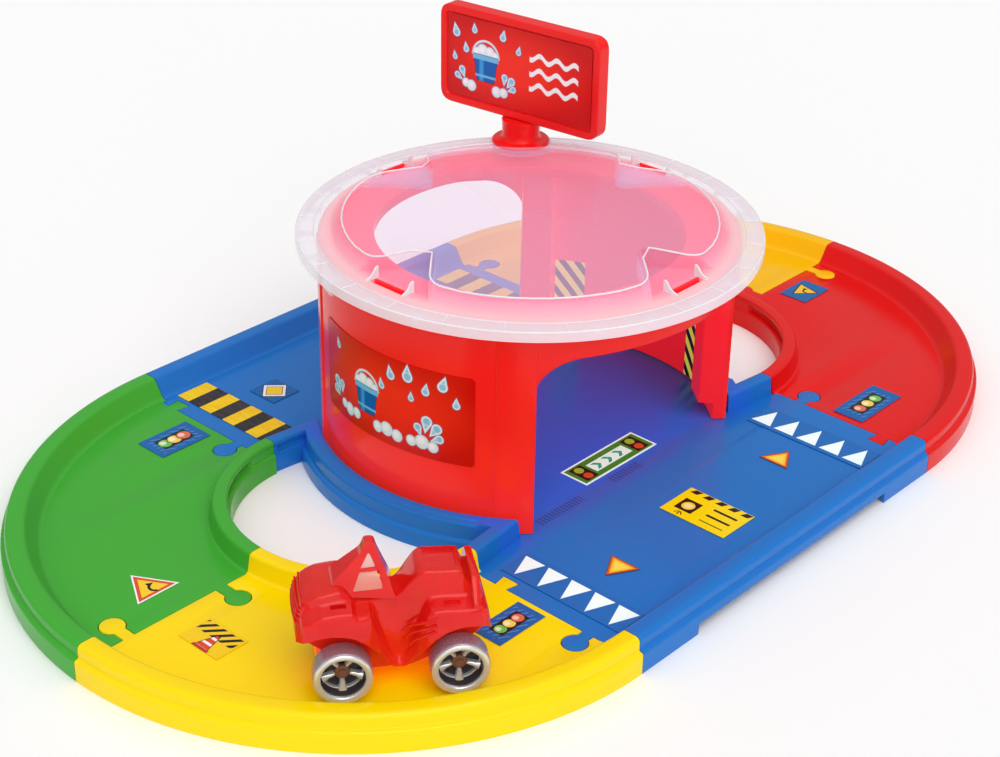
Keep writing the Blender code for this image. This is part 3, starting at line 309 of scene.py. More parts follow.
def light_sign(node, green_side):
    """Three lamps in a dark housing, on a blue ground with short spray lines."""
    finish, u, v, half_u, half_v, color = printed_base(node, (18, 100, 176))
    body = half_u * 0.62
    lamp = half_v * 0.36
    housing = finish.slab(u, v, body, half_v * 0.5)
    ray = (u * 0.8 + v * 1.5 + 100).math("PINGPONG", 2.6)
    spray = (housing - 2.6).above(ray - 0.34)
    color = finish.layer(color, spray, (112, 170, 214), 0.3)
    color = finish.layer(color, housing, (30, 34, 42), 0.3)
    lamps = (
        (-1, (112, 196, 92), (226, 244, 190)),
        (0, (246, 214, 92), (255, 246, 196)),
        (1, (226, 112, 84), (250, 206, 180)),
    )
    for place, paint, light in lamps:
        dot_u = u - green_side * -place * body * 0.62
        color = finish.layer(color, finish.disc(dot_u, v, lamp + 0.5), (20, 20, 20), 0.15)
        color = finish.layer(color, finish.disc(dot_u, v, lamp), paint, 0.15)
        color = finish.layer(color, finish.disc(dot_u + lamp * 0.25, v - lamp * 0.25, lamp * 0.5), light, 0.5)
    return printed(finish, color)


def priority_sign(node):
    """Blue square with a yellow diamond in a white and a black edge."""
    finish, u, v, half_u, half_v, color = printed_base(node, LABEL_BLUE)
    diamond = (abs(u) + abs(v)) * math.sqrt(0.5)
    color = finish.layer(color, diamond - half_u * 0.70, INK)
    color = finish.layer(color, diamond - half_u * 0.65, WHITE)
    color = finish.layer(color, diamond - half_u * 0.49, INK)
    color = finish.layer(color, diamond - half_u * 0.45, (250, 214, 30))
    return printed(finish, color)


def pointed(reach, turn):
    """Corners of an even triangle, one of them at an angle."""
    return [tuple(reach * share for share in direction(turn + 120 * i)) for i in range(3)]


def bent_arrow(finish, color, u, v, reach, turn):
    """Short arrow that bends to one side, drawn in a triangle."""
    c, s = direction(turn)
    ahead, across = u * c + v * s, v * c - u * s
    bow = abs(finish.disc(ahead + reach * 0.12, across + reach * 0.17, reach * 0.22)) - reach * 0.05
    bow = bow.above(-(across + reach * 0.1))
    corners = [(0.0, 0.0), (reach * 0.26, -reach * 0.02), (reach * 0.12, -reach * 0.26)]
    return finish.layer(color, bow.below(finish.convex(ahead, across, corners)), INK)


def warning_triangle(node, turn):
    """Orange-yellow triangle in a red-brown edge."""
    finish, u, v, half_u, half_v, color = printed_base(node, (120, 50, 24))
    reach = 2 * max(half_u, half_v) / math.sqrt(3)
    c, s = direction(turn)
    u, v = u + c * reach / 4, v + s * reach / 4
    color = finish.layer(color, finish.convex(u, v, pointed(reach * 0.94, turn)), (222, 96, 34), 0.15)
    field = finish.convex(u, v, pointed(reach * 0.74, turn))
    color = finish.layer(color, field, (255, 192, 16), 0.15)
    color = finish.layer(color, field + reach * 0.1, (255, 230, 84), 0.9)
    return printed(finish, color)


def bend_triangle(node):
    """White triangle with an orange-red band, a yellow field and a bent arrow."""
    finish, u, v, half_u, half_v, color = printed_base(node, WHITE)
    reach = 2 * max(half_u, half_v) / math.sqrt(3)
    v = v + reach / 4
    color = finish.layer(color, finish.convex(u, v, pointed(reach * 0.88, 90)), (222, 84, 40))
    color = finish.layer(color, finish.convex(u, v, pointed(reach * 0.64, 90)), (252, 210, 40))
    return printed(finish, bent_arrow(finish, color, u, v, reach, 90))


def bend_square(node):
    """Blue square with a yellow triangle in a black edge, its tip towards a corner, and a bent arrow."""
    finish, u, v, half_u, half_v, color = printed_base(node, LABEL_BLUE)
    half = min(half_u, half_v)
    u, v = u - half * 0.06, v - half * 0.1
    color = finish.layer(color, finish.convex(u, v, pointed(half * 1.02, 46)), INK)
    color = finish.layer(color, finish.convex(u, v, pointed(half * 0.86, 46)), (250, 196, 40))
    return printed(finish, bent_arrow(finish, color, u, v, half * 1.2, 46))


def works_sign(node):
    """Yellow ground with black slanted bars at one end and a red and white cone on a flat foot at the other."""
    finish, u, v, half_u, half_v, color = printed_base(node, (250, 208, 20))
    slant = (v + u * 0.9 + 100).math("PINGPONG", 3.0)
    bars = finish.slab(u - half_u * 0.42, v, half_u * 0.42, half_v - 1.2).above(slant - 1.4)
    color = finish.layer(color, bars, INK)
    cone_u, cone_v = u + half_u * 0.3, v + 1.0
    cone = finish.convex(cone_u, cone_v, [(-5.6, -4.2), (-5.6, 4.2), (5.4, 0.9), (5.4, -0.9)])
    color = finish.layer(color, cone - 0.5, INK)
    color = finish.layer(color, cone, (226, 72, 40))
    rings = (cone_u + 50).math("PINGPONG", 2.2)
    color = finish.layer(color, cone.above(rings - 0.8), WHITE)
    foot = finish.slab(cone_u + 6.2, cone_v, 0.9, 5.6)
    color = finish.layer(color, foot, (196, 50, 34))
    return printed(finish, color)


def speed_plate(node):
    """Yellow plate with black blocks along one side, a camera box with a round lens, three rays and rules."""
    finish, u, v, half_u, half_v, color = printed_base(node, (255, 228, 8))
    block = (v + 100 + u * 0.5).math("FLOORED_MODULO", 8.4) - 4.2
    color = finish.layer(color, finish.slab(u - half_u + 2.2, block, 1.9, 2.3), INK)
    box_u, box_v = u + half_u * 0.14, v - half_v * 0.52
    color = finish.layer(color, finish.slab(box_u, box_v, 5.8, 5.6), INK)
    color = finish.layer(color, finish.disc(box_u, box_v, 3.8), (250, 214, 60))
    color = finish.layer(color, finish.disc(box_u, box_v, 2.4), (255, 240, 170), 0.5)
    ray_u = box_u + 6.6
    for turn in (-38, 0, 38):
        c, s = direction(turn)
        ahead = -(ray_u * c) + box_v * s
        across = ray_u * s + box_v * c
        color = finish.layer(color, finish.slab(ahead - 2.4, across, 1.6, 0.35), INK)
    rules = (u + 50).math("PINGPONG", 3.4) - 0.9
    field = finish.slab(u + half_u * 0.1, v + half_v * 0.42, half_u * 0.55, half_v * 0.36)
    color = finish.layer(color, field.above(rules), INK)
    return printed(finish, color)


def exit_plate(node):
    """Green plate in a white edge: a white field with arrowheads, and a pair of lamps at each end."""
    finish, u, v, half_u, half_v, color = printed_base(node, WHITE, Emission_Strength=1.0)
    green = finish.slab(u, v, half_u - 1.2, half_v - 1.2)
    field = finish.slab(u, v, half_u * 0.5, half_v * 0.46)
    color = finish.layer(color, green, (52, 152, 52))
    color = finish.layer(color, field, (238, 246, 238))
    # painted light: the white parts glow faintly blue-green, which cancels the red light cast on them
    white = finish.inside((-green).below(field))
    finish.feed(Emission_Color=finish.mixed(white, (0, 0, 0, 1), (0.0, 0.22, 0.18, 1)))
    for place in (-1, 0, 1):
        lean = abs(v) * 0.9 + (u - place * 9.0)
        chevron = (lean - 1.8).above(-(lean + 1.0)).above(abs(v) - half_v * 0.34)
        color = finish.layer(color, chevron, (24, 92, 48))
    for end in (-1, 1):
        box_u = u - end * half_u * 0.72
        color = finish.layer(color, finish.slab(box_u, v, half_u * 0.155, half_v * 0.74), INK)
        for place, paint in ((1, (158, 206, 60)), (-1, (214, 84, 44))):
            color = finish.layer(color, finish.disc(box_u, v - place * half_v * 0.36, half_v * 0.3), paint)
    return printed(finish, color)


def diagonal_strip(name):
    """Upright strip of slanted black and yellow bars, along the wall's own turn."""
    finish = Finish(name, Emission_Strength=1.0)
    run = finish.y.math("ARCTAN2", finish.x) * STRIP_R
    slant = (finish.z - run * 1.25 + 400).math("PINGPONG", 6.0)
    bars = finish.inside(slant - 2.9, 0.12)
    color = finish.mixed(bars, linear((252, 224, 50)), linear(INK))
    # painted light: the yellow bars glow yellow-green, brightening them inside the tower
    finish.feed(Emission_Color=finish.mixed(bars, (0.12, 0.26, 0.04, 1), (0.0, 0.004, 0.004, 1)))
    return printed(finish, color, 0.25, 0.35)


def froth(finish, color, u, v, bubbles):
    """Clump of white foam: round bubbles that run together, in a pale blue edge."""
    clump = None
    for du, dv, radius in bubbles:
        edge = finish.disc(u - du, v - dv, radius)
        clump = edge if clump is None else clump.below(edge)
    color = finish.layer(color, clump - 0.35, (120, 178, 220))
    color = finish.layer(color, clump, (222, 238, 248), 0.3)
    for du, dv, radius in bubbles:
        top = finish.disc(u - du + radius * 0.15, v - dv - radius * 0.2, radius * 0.6)
        color = finish.layer(color, top, WHITE, 0.6)
    return color


def pail(finish, color, u, v):
    """Blue pail heaped with foam: sides that lean out, two hoops, a handle and a band of light."""
    handle = abs(finish.disc(u, v - 5.5, 9.4)) - 0.7
    color = finish.layer(color, handle.above(5.5 - v), (210, 228, 240))
    bubbles = [(-6.4, 7.2, 3.0), (-2.2, 8.8, 3.9), (3.0, 8.4, 3.4), (6.8, 7.0, 2.6)]
    color = froth(finish, color, u, v, bubbles)
    body = finish.convex(u, v, [(-6.0, -9.6), (6.0, -9.6), (8.6, 6.0), (-8.6, 6.0)])
    color = finish.layer(color, body - 0.4, (10, 40, 92))
    color = finish.layer(color, body, (16, 96, 182))
    color = finish.layer(color, body.above(abs(u + 3.0) - 1.4), (64, 156, 224), 0.8)
    hoops = finish.slab(u, v - 4.6, 9.2, 1.5).below(finish.slab(u, v + 6.6, 7.2, 0.7))
    return finish.layer(color, hoops, (118, 190, 232), 0.3)


def water_drop(finish, color, u, v, radius, turn):
    """White drop with a dark edge and a blue middle."""
    edge = finish.drop(u, v, radius, turn)
    color = finish.layer(color, edge - 0.35, (70, 110, 156))
    color = finish.layer(color, edge, (240, 248, 253))
    return finish.layer(color, edge + radius * 0.3, (138, 196, 230), 0.6)


def water_art(name, u_of, v_of, half_u, half_v, layout):
    """Red print, darker at its edges: a pail of foam, drops, fans of splashed water, foam and wavy lines."""
    finish = Finish(name)
    u, v = u_of(finish), v_of(finish)
    shade = finish.ramp(finish.disc(u / half_u, v / half_v, 0.0), 0.35, 1.15)
    color = finish.mixed(shade, linear((250, 42, 24)), linear(LABEL_RED))
    for du, dv, radius, turn in layout["drops"]:
        color = water_drop(finish, color, u - du * half_u, v - dv * half_v, radius, turn)
    for du, dv, petals in layout["splashes"]:
        for lean, reach, radius in petals:
            up, side = direction(lean)
            petal_u, petal_v = u - du * half_u - reach * side, v - dv * half_v - reach * up
            color = water_drop(finish, color, petal_u, petal_v, radius, 180 - lean)
    foam = [(du * half_u, dv * half_v, radius) for du, dv, radius in layout["foam"]]
    color = froth(finish, color, u, v, foam)
    if "waves" in layout:
        start, end, heights = layout["waves"]
        swing = (u * 0.52).math("SINE") * 1.7
        beyond = abs(u - (start + end) / 2) - (end - start) / 2
        for place in heights:
            line = abs(v - place * half_v - swing) - 1.5
            color = finish.layer(color, line.above(beyond), WHITE, 0.2)
    color = pail(finish, color, u - layout["pail"][0] * half_u, v - layout["pail"][1] * half_v)
    return shine(finish, color, 0.18, 0.28, 0.03, 0.03)


# Shapes


def outward(mesh):
    """Merges points that coincide and turns every face of the closed shell outwards."""
    shape = bmesh.new()
    shape.from_mesh(mesh)
    bmesh.ops.remove_doubles(shape, verts=shape.verts, dist=2e-6)
    bmesh.ops.recalc_face_normals(shape, faces=shape.faces)
    shape.to_mesh(mesh)
    shape.free()
    return mesh


def lofted(name, rings, around=False):
    """Closed sections joined in turn, point j to point j of the next section, with a cap at both ends."""
    rows, count = rings.shape[:2]
    i = np.arange(rows if around else rows - 1)[:, None]
    j = np.arange(count)[None, :]
    far, beside = (i + 1) % rows, (j + 1) % count
    faces = np.stack([i * count + j, i * count + beside, far * count + beside, far * count + j], -1)
    caps = [] if around else [list(range(count)), list(range((rows - 1) * count, rows * count))]
    mesh = bpy.data.meshes.new(name)
    mesh.from_pydata((rings.reshape(-1, 3) * MM).tolist(), [], faces.reshape(-1, 4).tolist() + caps)
    return outward(mesh)


def filleted(corners, steps=4):
    """Outline with eased corners, each given as two places and the length that its curve takes up either side.

    The curve is (1-t)^2 start + 2t(1-t) corner + t^2 end, with t from 0 to 1.
    """
    corners = np.array(corners, float)
    points, sizes = corners[:, :2], corners[:, 2]
    before, after = np.roll(points, 1, 0) - points, np.roll(points, -1, 0) - points
    reach_before, reach_after = np.linalg.norm(before, axis=1), np.linalg.norm(after, axis=1)
    cut = np.minimum(sizes, 0.49 * np.minimum(reach_before, reach_after))[:, None]
    start = (points + before / reach_before[:, None] * cut)[:, None]
    end = (points + after / reach_after[:, None] * cut)[:, None]
    t = np.linspace(0, 1, steps + 1)[None, :, None]
    curve = (1 - t) ** 2 * start + 2 * t * (1 - t) * points[:, None] + t ** 2 * end
    return curve.reshape(-1, 2)


def revolved(name, profile, steps, centre=(0, 0)):
    """Outline of radius r and height z carried round an upright axis: r cos a, r sin a, z for each angle a."""
    turn = np.linspace(0, 2 * math.pi, steps, endpoint=False)[:, None]
    r, z = np.asarray(profile).T
    rings = np.stack([centre[0] + r * np.cos(turn), centre[1] + r * np.sin(turn), z + 0 * turn], -1)
    return lofted(name, rings, around=True)


def bent(profile, start, end, steps):
    """Sections of radius and height from one angle to another about the tower's axis, in degrees."""
    turn = np.radians(np.linspace(start, end, steps + 1))[:, None]
    r, z = np.asarray(profile).T
    return np.stack([r * np.cos(turn), r * np.sin(turn), z + 0 * turn], -1)


def level(outline, z):
    """Outline in plan as points at one height."""
    return np.column_stack([outline, np.full(len(outline), z)])


def upright(outline, y):
    """Outline in x and height as points at one y."""
    return np.column_stack([outline[:, 0], np.full(len(outline), y), outline[:, 1]])


def prism(name, outline, low, high):
    """Outline in plan carried straight up from low to high."""
    return lofted(name, np.array([level(outline, z) for z in (low, high)]))


def tube(name, path, radius, around=8, closed=False):
    """Round bead along a path: its section stands square to the path, one radius from it."""
    path = np.asarray(path, float)
    ahead = np.roll(path, -1, 0) - np.roll(path, 1, 0) if closed else np.gradient(path, axis=0)
    ahead /= np.linalg.norm(ahead, axis=1)[:, None]
    side = np.cross(ahead, (0, 0, 1.0))
    side /= np.linalg.norm(side, axis=1)[:, None]
    up = np.cross(side, ahead)
    turn = np.linspace(0, 2 * math.pi, around, endpoint=False)[None, :, None]
    rings = path[:, None] + radius * (np.cos(turn) * side[:, None] + np.sin(turn) * up[:, None])
    return lofted(name, rings, closed)


def turned(mesh, degrees):
    """The mesh turned about the upright axis."""
    mesh.transform(Matrix.Rotation(math.radians(degrees), 4, "Z"))
    return mesh


def joined(name, meshes):
    """Several closed shells as one mesh."""
    shape = bmesh.new()
    for mesh in meshes:
        shape.from_mesh(mesh)
        bpy.data.meshes.remove(mesh)
    made = bpy.data.meshes.new(name)
    shape.to_mesh(made)
    shape.free()
    return made


def placed(name, data):
    """New object in the scene."""
    obj = bpy.data.objects.new(name, data)
    bpy.context.scene.collection.objects.link(obj)
    return obj


def baked(obj):
    """Mesh of an object as its modifiers or its curve make it."""
    bpy.context.view_layer.update()
    return bpy.data.meshes.new_from_object(obj.evaluated_get(bpy.context.evaluated_depsgraph_get()))


def carved(mesh, steps):
    """Booleans in turn: each step is an operation and the mesh that it adds to the first or takes from it."""
    target = placed(mesh.name, mesh)
    helpers = []
    for operation, other in steps:
        helper = placed(other.name, other)
        helpers.append(helper)
        modifier = target.modifiers.new(other.name, "BOOLEAN")
        modifier.operation = operation
        modifier.solver = "MANIFOLD"
        modifier.object = helper
    made = baked(target)
    for obj in [target, *helpers]:
        bpy.data.objects.remove(obj)
    return made


def plate(name, loops, low, high, ease=0.3):
    """Flat plate: closed outlines filled and carried from low to high, their edges rounded by the ease."""
    curve = bpy.data.curves.new(name, "CURVE")
    curve.dimensions = "2D"
    curve.fill_mode = "BOTH"
    curve.extrude = ((high - low) / 2 - ease) * MM
    curve.bevel_depth = ease * MM
    curve.bevel_resolution = 1
    curve.offset = -ease * MM
    for loop in loops:
        spline = curve.splines.new("POLY")
        spline.points.add(len(loop) - 1)
        flat = np.zeros((len(loop), 4))
        flat[:, :2] = np.asarray(loop) * MM
        flat[:, 3] = 1
        spline.points.foreach_set("co", flat.reshape(-1))
        spline.use_cyclic_u = True
    guide = placed(name, curve)
    mesh = baked(guide)
    bpy.data.objects.remove(guide)
    mesh.transform(Matrix.Translation((0, 0, (low + high) / 2 * MM)))
    return outward(mesh)


def piece(name, mesh, body, finish, replaces=(), sharp=34.0):
    """Object that rides on a body, smooth but for edges sharper than an angle in degrees."""
    obj = placed(name, mesh)
    mesh.materials.clear()
    mesh.materials.append(finish.material)
    mesh.shade_smooth()
    mesh.set_sharp_from_angle(angle=math.radians(sharp))
    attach(obj, body)
    if replaces:
        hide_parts(*replaces)
    return obj


def polar(radius, degrees, centre=(0, 0)):
    """Points at a radius, one for each angle."""
    turn = np.radians(degrees)
    return np.column_stack([centre[0] + radius * np.cos(turn), centre[1] + radius * np.sin(turn)])


# Sizes in millimetres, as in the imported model

CURVE_X = 127.0
FLOOR_TOP = 9.0
PLATE_LOW = 6.8
FLOOR_IN = 84.0
FLOOR_OUT = 169.3
ROW_IN = 100.5
ROW_OUT = 158.0
TAB_R = 6.5
BASE_JOINT = 130.0
WALL_END = 126.9
LEDGE_TURN = 36.5
TOWER_R = 115.5
TOWER_IN = 113.0
TOWER_TOP = 131.9
ARCH_HALF = 83.6
CROWN_HALF = 63.6
ARCH_Z = 112.0
RIM = 134.0
RIM_R = 127.7
PLATEAU_R = 102.5
PLATEAU_RISE = 6.0
DOME_RISE = 12.5
ABOVE = 165.0
SEAT_R = 104.0
SEAT = (SEAT_R * math.cos(math.pi / 4), SEAT_R * math.sin(math.pi / 4))

# Sections of the road's two walls: distance from the middle of the curve, height and easing

OUTER_WALL = [
    (165.6, 8.7, 0), (170.6, 9.0, 3.4), (177.3, 20.0, 1.8), (187.5, 20.0, 3.2), (187.5, 12.7, 0.6),
    (190.0, 11.9, 1.0), (190.0, 0.0, 0.4), (187.8, 0.0, 0.4), (187.8, 9.9, 0.6), (185.2, 10.8, 0.6),
    (185.2, 17.7, 1.6), (179.0, 17.7, 1.0), (172.6, 6.9, 2.0), (165.6, 6.9, 0),
]
INNER_WALL = [
    (71.5, 0.0, 0.4), (71.5, 11.8, 0.8), (75.4, 12.6, 0.7), (75.4, 16.9, 0.7), (73.0, 17.3, 0.6),
    (73.0, 20.0, 2.2), (81.0, 20.0, 2.4), (83.2, 9.0, 2.8), (87.4, 8.7, 0), (87.4, 6.9, 0),
    (81.4, 6.9, 1.0), (79.2, 17.8, 0.8), (77.4, 17.8, 0.4), (77.4, 10.6, 0.4), (73.7, 10.0, 0.6),
    (73.7, 0.0, 0.4),
]


def eased(value, start, end):
    """0 before start and 1 after end, smoothly between: 3t^2 - 2t^3."""
    t = np.clip((value - start) / (end - start), 0, 1)
    return t * t * (3 - 2 * t)


# Road pieces


def tab_outline(reach, grow, start):
    """Round-headed tab: a neck half as wide as the head, up to a circle whose middle is at the reach."""
    half, radius = TAB_R / 2 + grow, TAB_R + grow
    lean = math.degrees(math.asin(half / radius))
    head = polar(radius, np.linspace(270 - lean, lean - 90, 28), (0, reach))
    return np.vstack([[(-half, start)], head, [(half, start)]])


def nib_outline(grow, start):
    """Tongue that widens towards its tip."""
    root, tip, reach = 3.5 + grow, 5 + grow, 7.5 + grow
    return np.array([(-root, start), (-tip, reach), (tip, reach), (root, start)])


def along(points, origin, run, out):
    """Outline moved onto a joint line: across runs along it, the second value away from it."""
    return np.asarray(origin) + points[:, :1] * np.asarray(run) + points[:, 1:] * np.asarray(out)


def floor_arc(radius, steps):
    """Edge of a curve's floor: an arc from 0.15 mm beside one joint line to 3.3 mm beside the other."""
    start, end = math.asin(0.15 / radius), math.acos(3.3 / radius)
    return polar(radius, np.linspace(math.degrees(start), math.degrees(end), steps))


def road_outline(inner_tab):
    """Plan of a quarter of the road, from the centre of the curve, with its tabs and sockets."""
    tab_row, other_row = (ROW_IN, ROW_OUT) if inner_tab else (ROW_OUT, ROW_IN)
    nib = along(nib_outline(0, -0.3), (3, other_row), (0, -1), (-1, 0))
    socket = along(tab_outline(9.8, 0.4, 0.3), (3, tab_row), (0, -1), (1, 0))
    own_tab = along(tab_outline(13, 0, -0.15), (tab_row, 0), (1, 0), (0, -1))
    far_socket = along(tab_outline(13, 0.4, 0.15), (other_row, 0), (1, 0), (0, 1))
    base_joint = [nib, socket] if inner_tab else [socket, nib]
    curve_joint = [own_tab, far_socket] if inner_tab else [far_socket, own_tab]
    return np.vstack([*base_joint, floor_arc(FLOOR_IN, 60)[::-1], *curve_joint, floor_arc(FLOOR_OUT, 80)])


def quarter_ring(profile, side_x, side_y, steps, recess=False):
    """Wall section carried round a quarter turn, its ends flat on the two joint lines.

    Radius r and share s give the angle a0 + s (a1 - a0), where r sin a0 = 0.15 and r cos a1 = 0.3.
    The recess in the hole's side fades out near both ends.
    """
    r, z = profile.T
    share = np.linspace(0, 1, steps + 1)[:, None]
    low, high = np.arcsin(0.15 / r), np.arccos(0.3 / r)
    angle = low + (high - low) * share
    if recess:
        solid = 1 - eased(share, 0.10, 0.12) * (1 - eased(share, 0.84, 0.86))
        inside = ((r > 73.4) & (r < 76) & (z > 12.2) & (z < 17.25)).astype(float)
        r = r - inside * solid * (r - 73.0) * 0.98
    x = side_x * (CURVE_X + r * np.cos(angle))
    y = side_y * r * np.sin(angle)
    return np.stack([x, y, z + 0 * angle], -1)


def road_curve(name, side_x, side_y, inner_tab, slot, finish):
    """Quarter of the road: outer wall with its skirt, inner wall, and the puzzle-cut floor."""
    outer = lofted(name + "_outer", quarter_ring(filleted(OUTER_WALL, 5), side_x, side_y, 90))
    inner = lofted(name + "_inner", quarter_ring(filleted(INNER_WALL, 5), side_x, side_y, 100, True))
    outline = (road_outline(inner_tab) + (CURVE_X, 0)) * (side_x, side_y)
    floor = plate(name + "_floor", [outline], PLATE_LOW, FLOOR_TOP)
    return piece(name + "_moulding", joined(name, [outer, inner, floor]), "base", finish, [name])


def base_edge(side):
    """Joint line of the centre piece at one end, from front to back, with the ledge's arc between."""
    edge, wall_end = side * BASE_JOINT, side * WALL_END
    rows = [(-ROW_OUT, side < 0), (-ROW_IN, side > 0), (ROW_IN, side < 0), (ROW_OUT, side > 0)]
    shapes = []
    for row, has_tab in rows:
        if has_tab:
            shapes.append(along(tab_outline(9.8, 0, 0), (edge, row), (0, 1), (side, 0)))
        else:
            shapes.append(along(nib_outline(0.4, 0), (edge, row), (0, 1), (-side, 0)))
    arc = polar(119.7, np.linspace(-LEDGE_TURN, LEDGE_TURN, 40)) * (side, 1)
    front = [[(wall_end, -172.0), (wall_end, -167.8), (edge, -168.1)], shapes[0], shapes[1],
             [(edge, -83.9), (wall_end, -84.2), (wall_end, -77.0)]]
    back = [[(wall_end, 77.0), (wall_end, 84.2), (edge, 83.9)], shapes[2], shapes[3],
            [(edge, 168.1), (wall_end, 167.8), (wall_end, 172.0)]]
    return np.vstack([*front, arc, *back])


def straight_wall(side):
    """Outer wall of a straight; its skirt stands on feet at both ends and is lifted 6.5 mm between them."""
    profile = filleted(OUTER_WALL, 5)
    x = np.array([-WALL_END, -83.4, -83.0, -40.0, 0.0, 40.0, 83.0, 83.4, WALL_END])[:, None]
    z = np.where(np.abs(x) < 83.2, np.maximum(profile[:, 1], 6.5), profile[:, 1])
    rings = np.stack([x + 0 * z, side * profile[:, 0] + 0 * z, z], -1)
    return lofted("straight_wall", rings)


def leaning_wall(side_x, side_y):
    """Short wall beside the end hole: it leans in towards the tower, with a recess in the hole's side."""
    section = filleted([
        (-4.0, 0.1, 0.4), (5.0, 0.1, 0.4), (5.0, 10.5, 1.6), (4.0, 19.9, 2.0), (-4.0, 19.9, 2.0),
        (-4.0, 17.2, 0.5), (-1.6, 16.8, 0.6), (-1.6, 12.6, 0.6), (-4.0, 12.0, 0.6),
    ], 4)
    shares = np.array([0, 0.06, 0.09, 0.8, 0.84, 1.0])[:, None]
    start_y = 77.0 + section[:, 0]
    end_r = 119.2
    run = CURVE_X - end_r * np.cos(np.arcsin(start_y / end_r))
    end_y = start_y - 4.5 * run / 42
    end_x = np.sqrt(end_r ** 2 - end_y ** 2)
    solid = 1 - eased(shares, 0.06, 0.09) * (1 - eased(shares, 0.8, 0.84))
    depth, height = section.T
    recessed = (depth > -3.9) & (depth < -1.5) & (height > 12.1) & (height < 17.1)
    push = recessed * solid * (depth + 4.0) * 0.97
    x = WALL_END + (end_x - WALL_END) * shares
    y = start_y + (end_y - start_y) * shares - push
    rings = np.stack([side_x * x, side_y * y, height + 0 * x], -1)
    return lofted("leaning_wall", rings)


def ledge(middle):
    """Raised band round the tower's foot: its inner rib stands 0.9 mm proud and ends in flat pads."""
    profile = filleted([
        (118.6, 7.2, 0), (118.6, 20.0, 0.9), (122.8, 20.0, 0.6), (123.5, 19.1, 0.5), (127.5, 19.1, 1.8),
        (127.5, 10.0, 0.7), (130.0, 9.0, 0.9), (130.0, 0.0, 0.4), (127.8, 0.0, 0.4), (127.8, 8.0, 0.5),
        (125.4, 8.6, 0.5), (125.4, 16.8, 1.0), (120.8, 16.8, 1.0), (120.8, 7.2, 0),
    ], 5)
    rings = bent(profile, middle - LEDGE_TURN, middle + LEDGE_TURN, 96)
    turn = np.abs(np.linspace(-LEDGE_TURN, LEDGE_TURN, 97))[:, None]
    lowered = (profile[:, 1] > 18.0) & (profile[:, 1] < 19.9) & (profile[:, 0] > 122)
    rings[..., 2] += lowered * eased(turn, 30.0, 31.2) * (19.95 - profile[:, 1])
    return lofted("ledge", rings)


def centre_piece(finish):
    """Blue centre: floor, two straights, ledges and the four short walls beside the holes."""
    outline = np.vstack([base_edge(1), base_edge(-1)[::-1]])
    parts = [plate("centre_floor", [outline], PLATE_LOW, FLOOR_TOP)]
    for side in (1, -1):
        parts += [straight_wall(side), ledge(0 if side > 0 else 180)]
        parts += [leaning_wall(side, side_y) for side_y in (1, -1)]
    return piece("centre_moulding", joined("centre", parts), "base", finish, ["center_base"])


# Tower


def arch_top(reach):
    """Underside of an arch at a distance from its middle: a crown of 2 mm, then a round corner of 20 mm."""
    crown = ARCH_Z + 2.0 * (1 - (np.minimum(reach, CROWN_HALF) / CROWN_HALF) ** 2)
    beyond = np.maximum(reach - CROWN_HALF, 0)
    corner = ARCH_Z - 20.0 + np.sqrt(np.maximum(20.0 ** 2 - beyond ** 2, 0))
    return np.where(reach <= CROWN_HALF, crown, corner)


def drum_shell():
    """Wall, flange and lip as one section carried round; its lower edge follows the arches and the road."""
    jamb = math.degrees(math.acos(ARCH_HALF / TOWER_R))
    over_arch = np.linspace(0, jamb - 0.02, 44)
    beside = np.linspace(jamb + 0.1, 57, 46)
    quarter = np.concatenate([over_arch, [jamb + 0.02], beside, np.linspace(58, 90, 33)])
    turn = np.unique(np.concatenate([quarter, 180 - quarter, 180 + quarter, 360 - quarter])[:-1] % 360)
    reach = TOWER_R * np.abs(np.cos(np.radians(turn)))
    foot = np.where(reach < ARCH_HALF, arch_top(reach), FLOOR_TOP + 0.3)[:, None]
    profile = filleted([
        (TOWER_R, 0, 0.8), (TOWER_R, TOWER_TOP, 1.2), (85.0, TOWER_TOP, 0.8), (85.0, 125.9, 0.6),
        (87.0, 125.9, 0.6), (87.0, 129.4, 0.8), (TOWER_IN, 129.4, 1.4), (TOWER_IN, 0, 0.8),
    ], 4)
    r, z = profile.T
    z = np.where(z < 5, z + foot, z)
    angle = np.radians(turn)[:, None]
    return lofted("drum_shell", np.stack([r * np.cos(angle), r * np.sin(angle), z], -1), around=True)


def post(start):
    """Post beside an arch: a ring sector in plan, its inner half cut away up to 20 mm over the table."""
    end = start + 10.4
    rings = []
    for z, inner in ((9.4, 108.0), (19.3, 108.0), (20.3, 99.6), (130.6, 99.6)):
        outer_arc = polar(116.4, np.linspace(start, end, 7))
        inner_arc = polar(inner, np.linspace(end, start, 7))
        plan = np.vstack([outer_arc, inner_arc])
        sizes = np.zeros(len(plan))
        sizes[[0, 6, 7, 13]] = 1.2
        rings.append(level(filleted(np.column_stack([plan, sizes]), 4), z))
    return lofted("post", np.array(rings))


def hook(turn):
    """Snap hook on the tower's top edge: a thin wall with a bead along its upper end."""
    section = filleted([
        (106.9, 130.6, 0), (106.9, 133.8, 0.2), (106.4, 134.4, 0.3), (106.7, 135.1, 0.3),
        (108.3, 135.1, 0.3), (108.6, 134.4, 0.3), (108.1, 133.8, 0.2), (108.1, 130.6, 0),
    ], 2)
    run = np.array([-10.0, -9.6, 9.6, 10.0])
    slim = np.array([0.8, 1.0, 1.0, 0.8])
    r = 107.5 + (section[:, 0] - 107.5) * slim[:, None]
    rings = np.stack([r, run[:, None] + 0 * r, section[:, 1] + 0 * r], -1)
    return turned(lofted("hook", rings), turn)


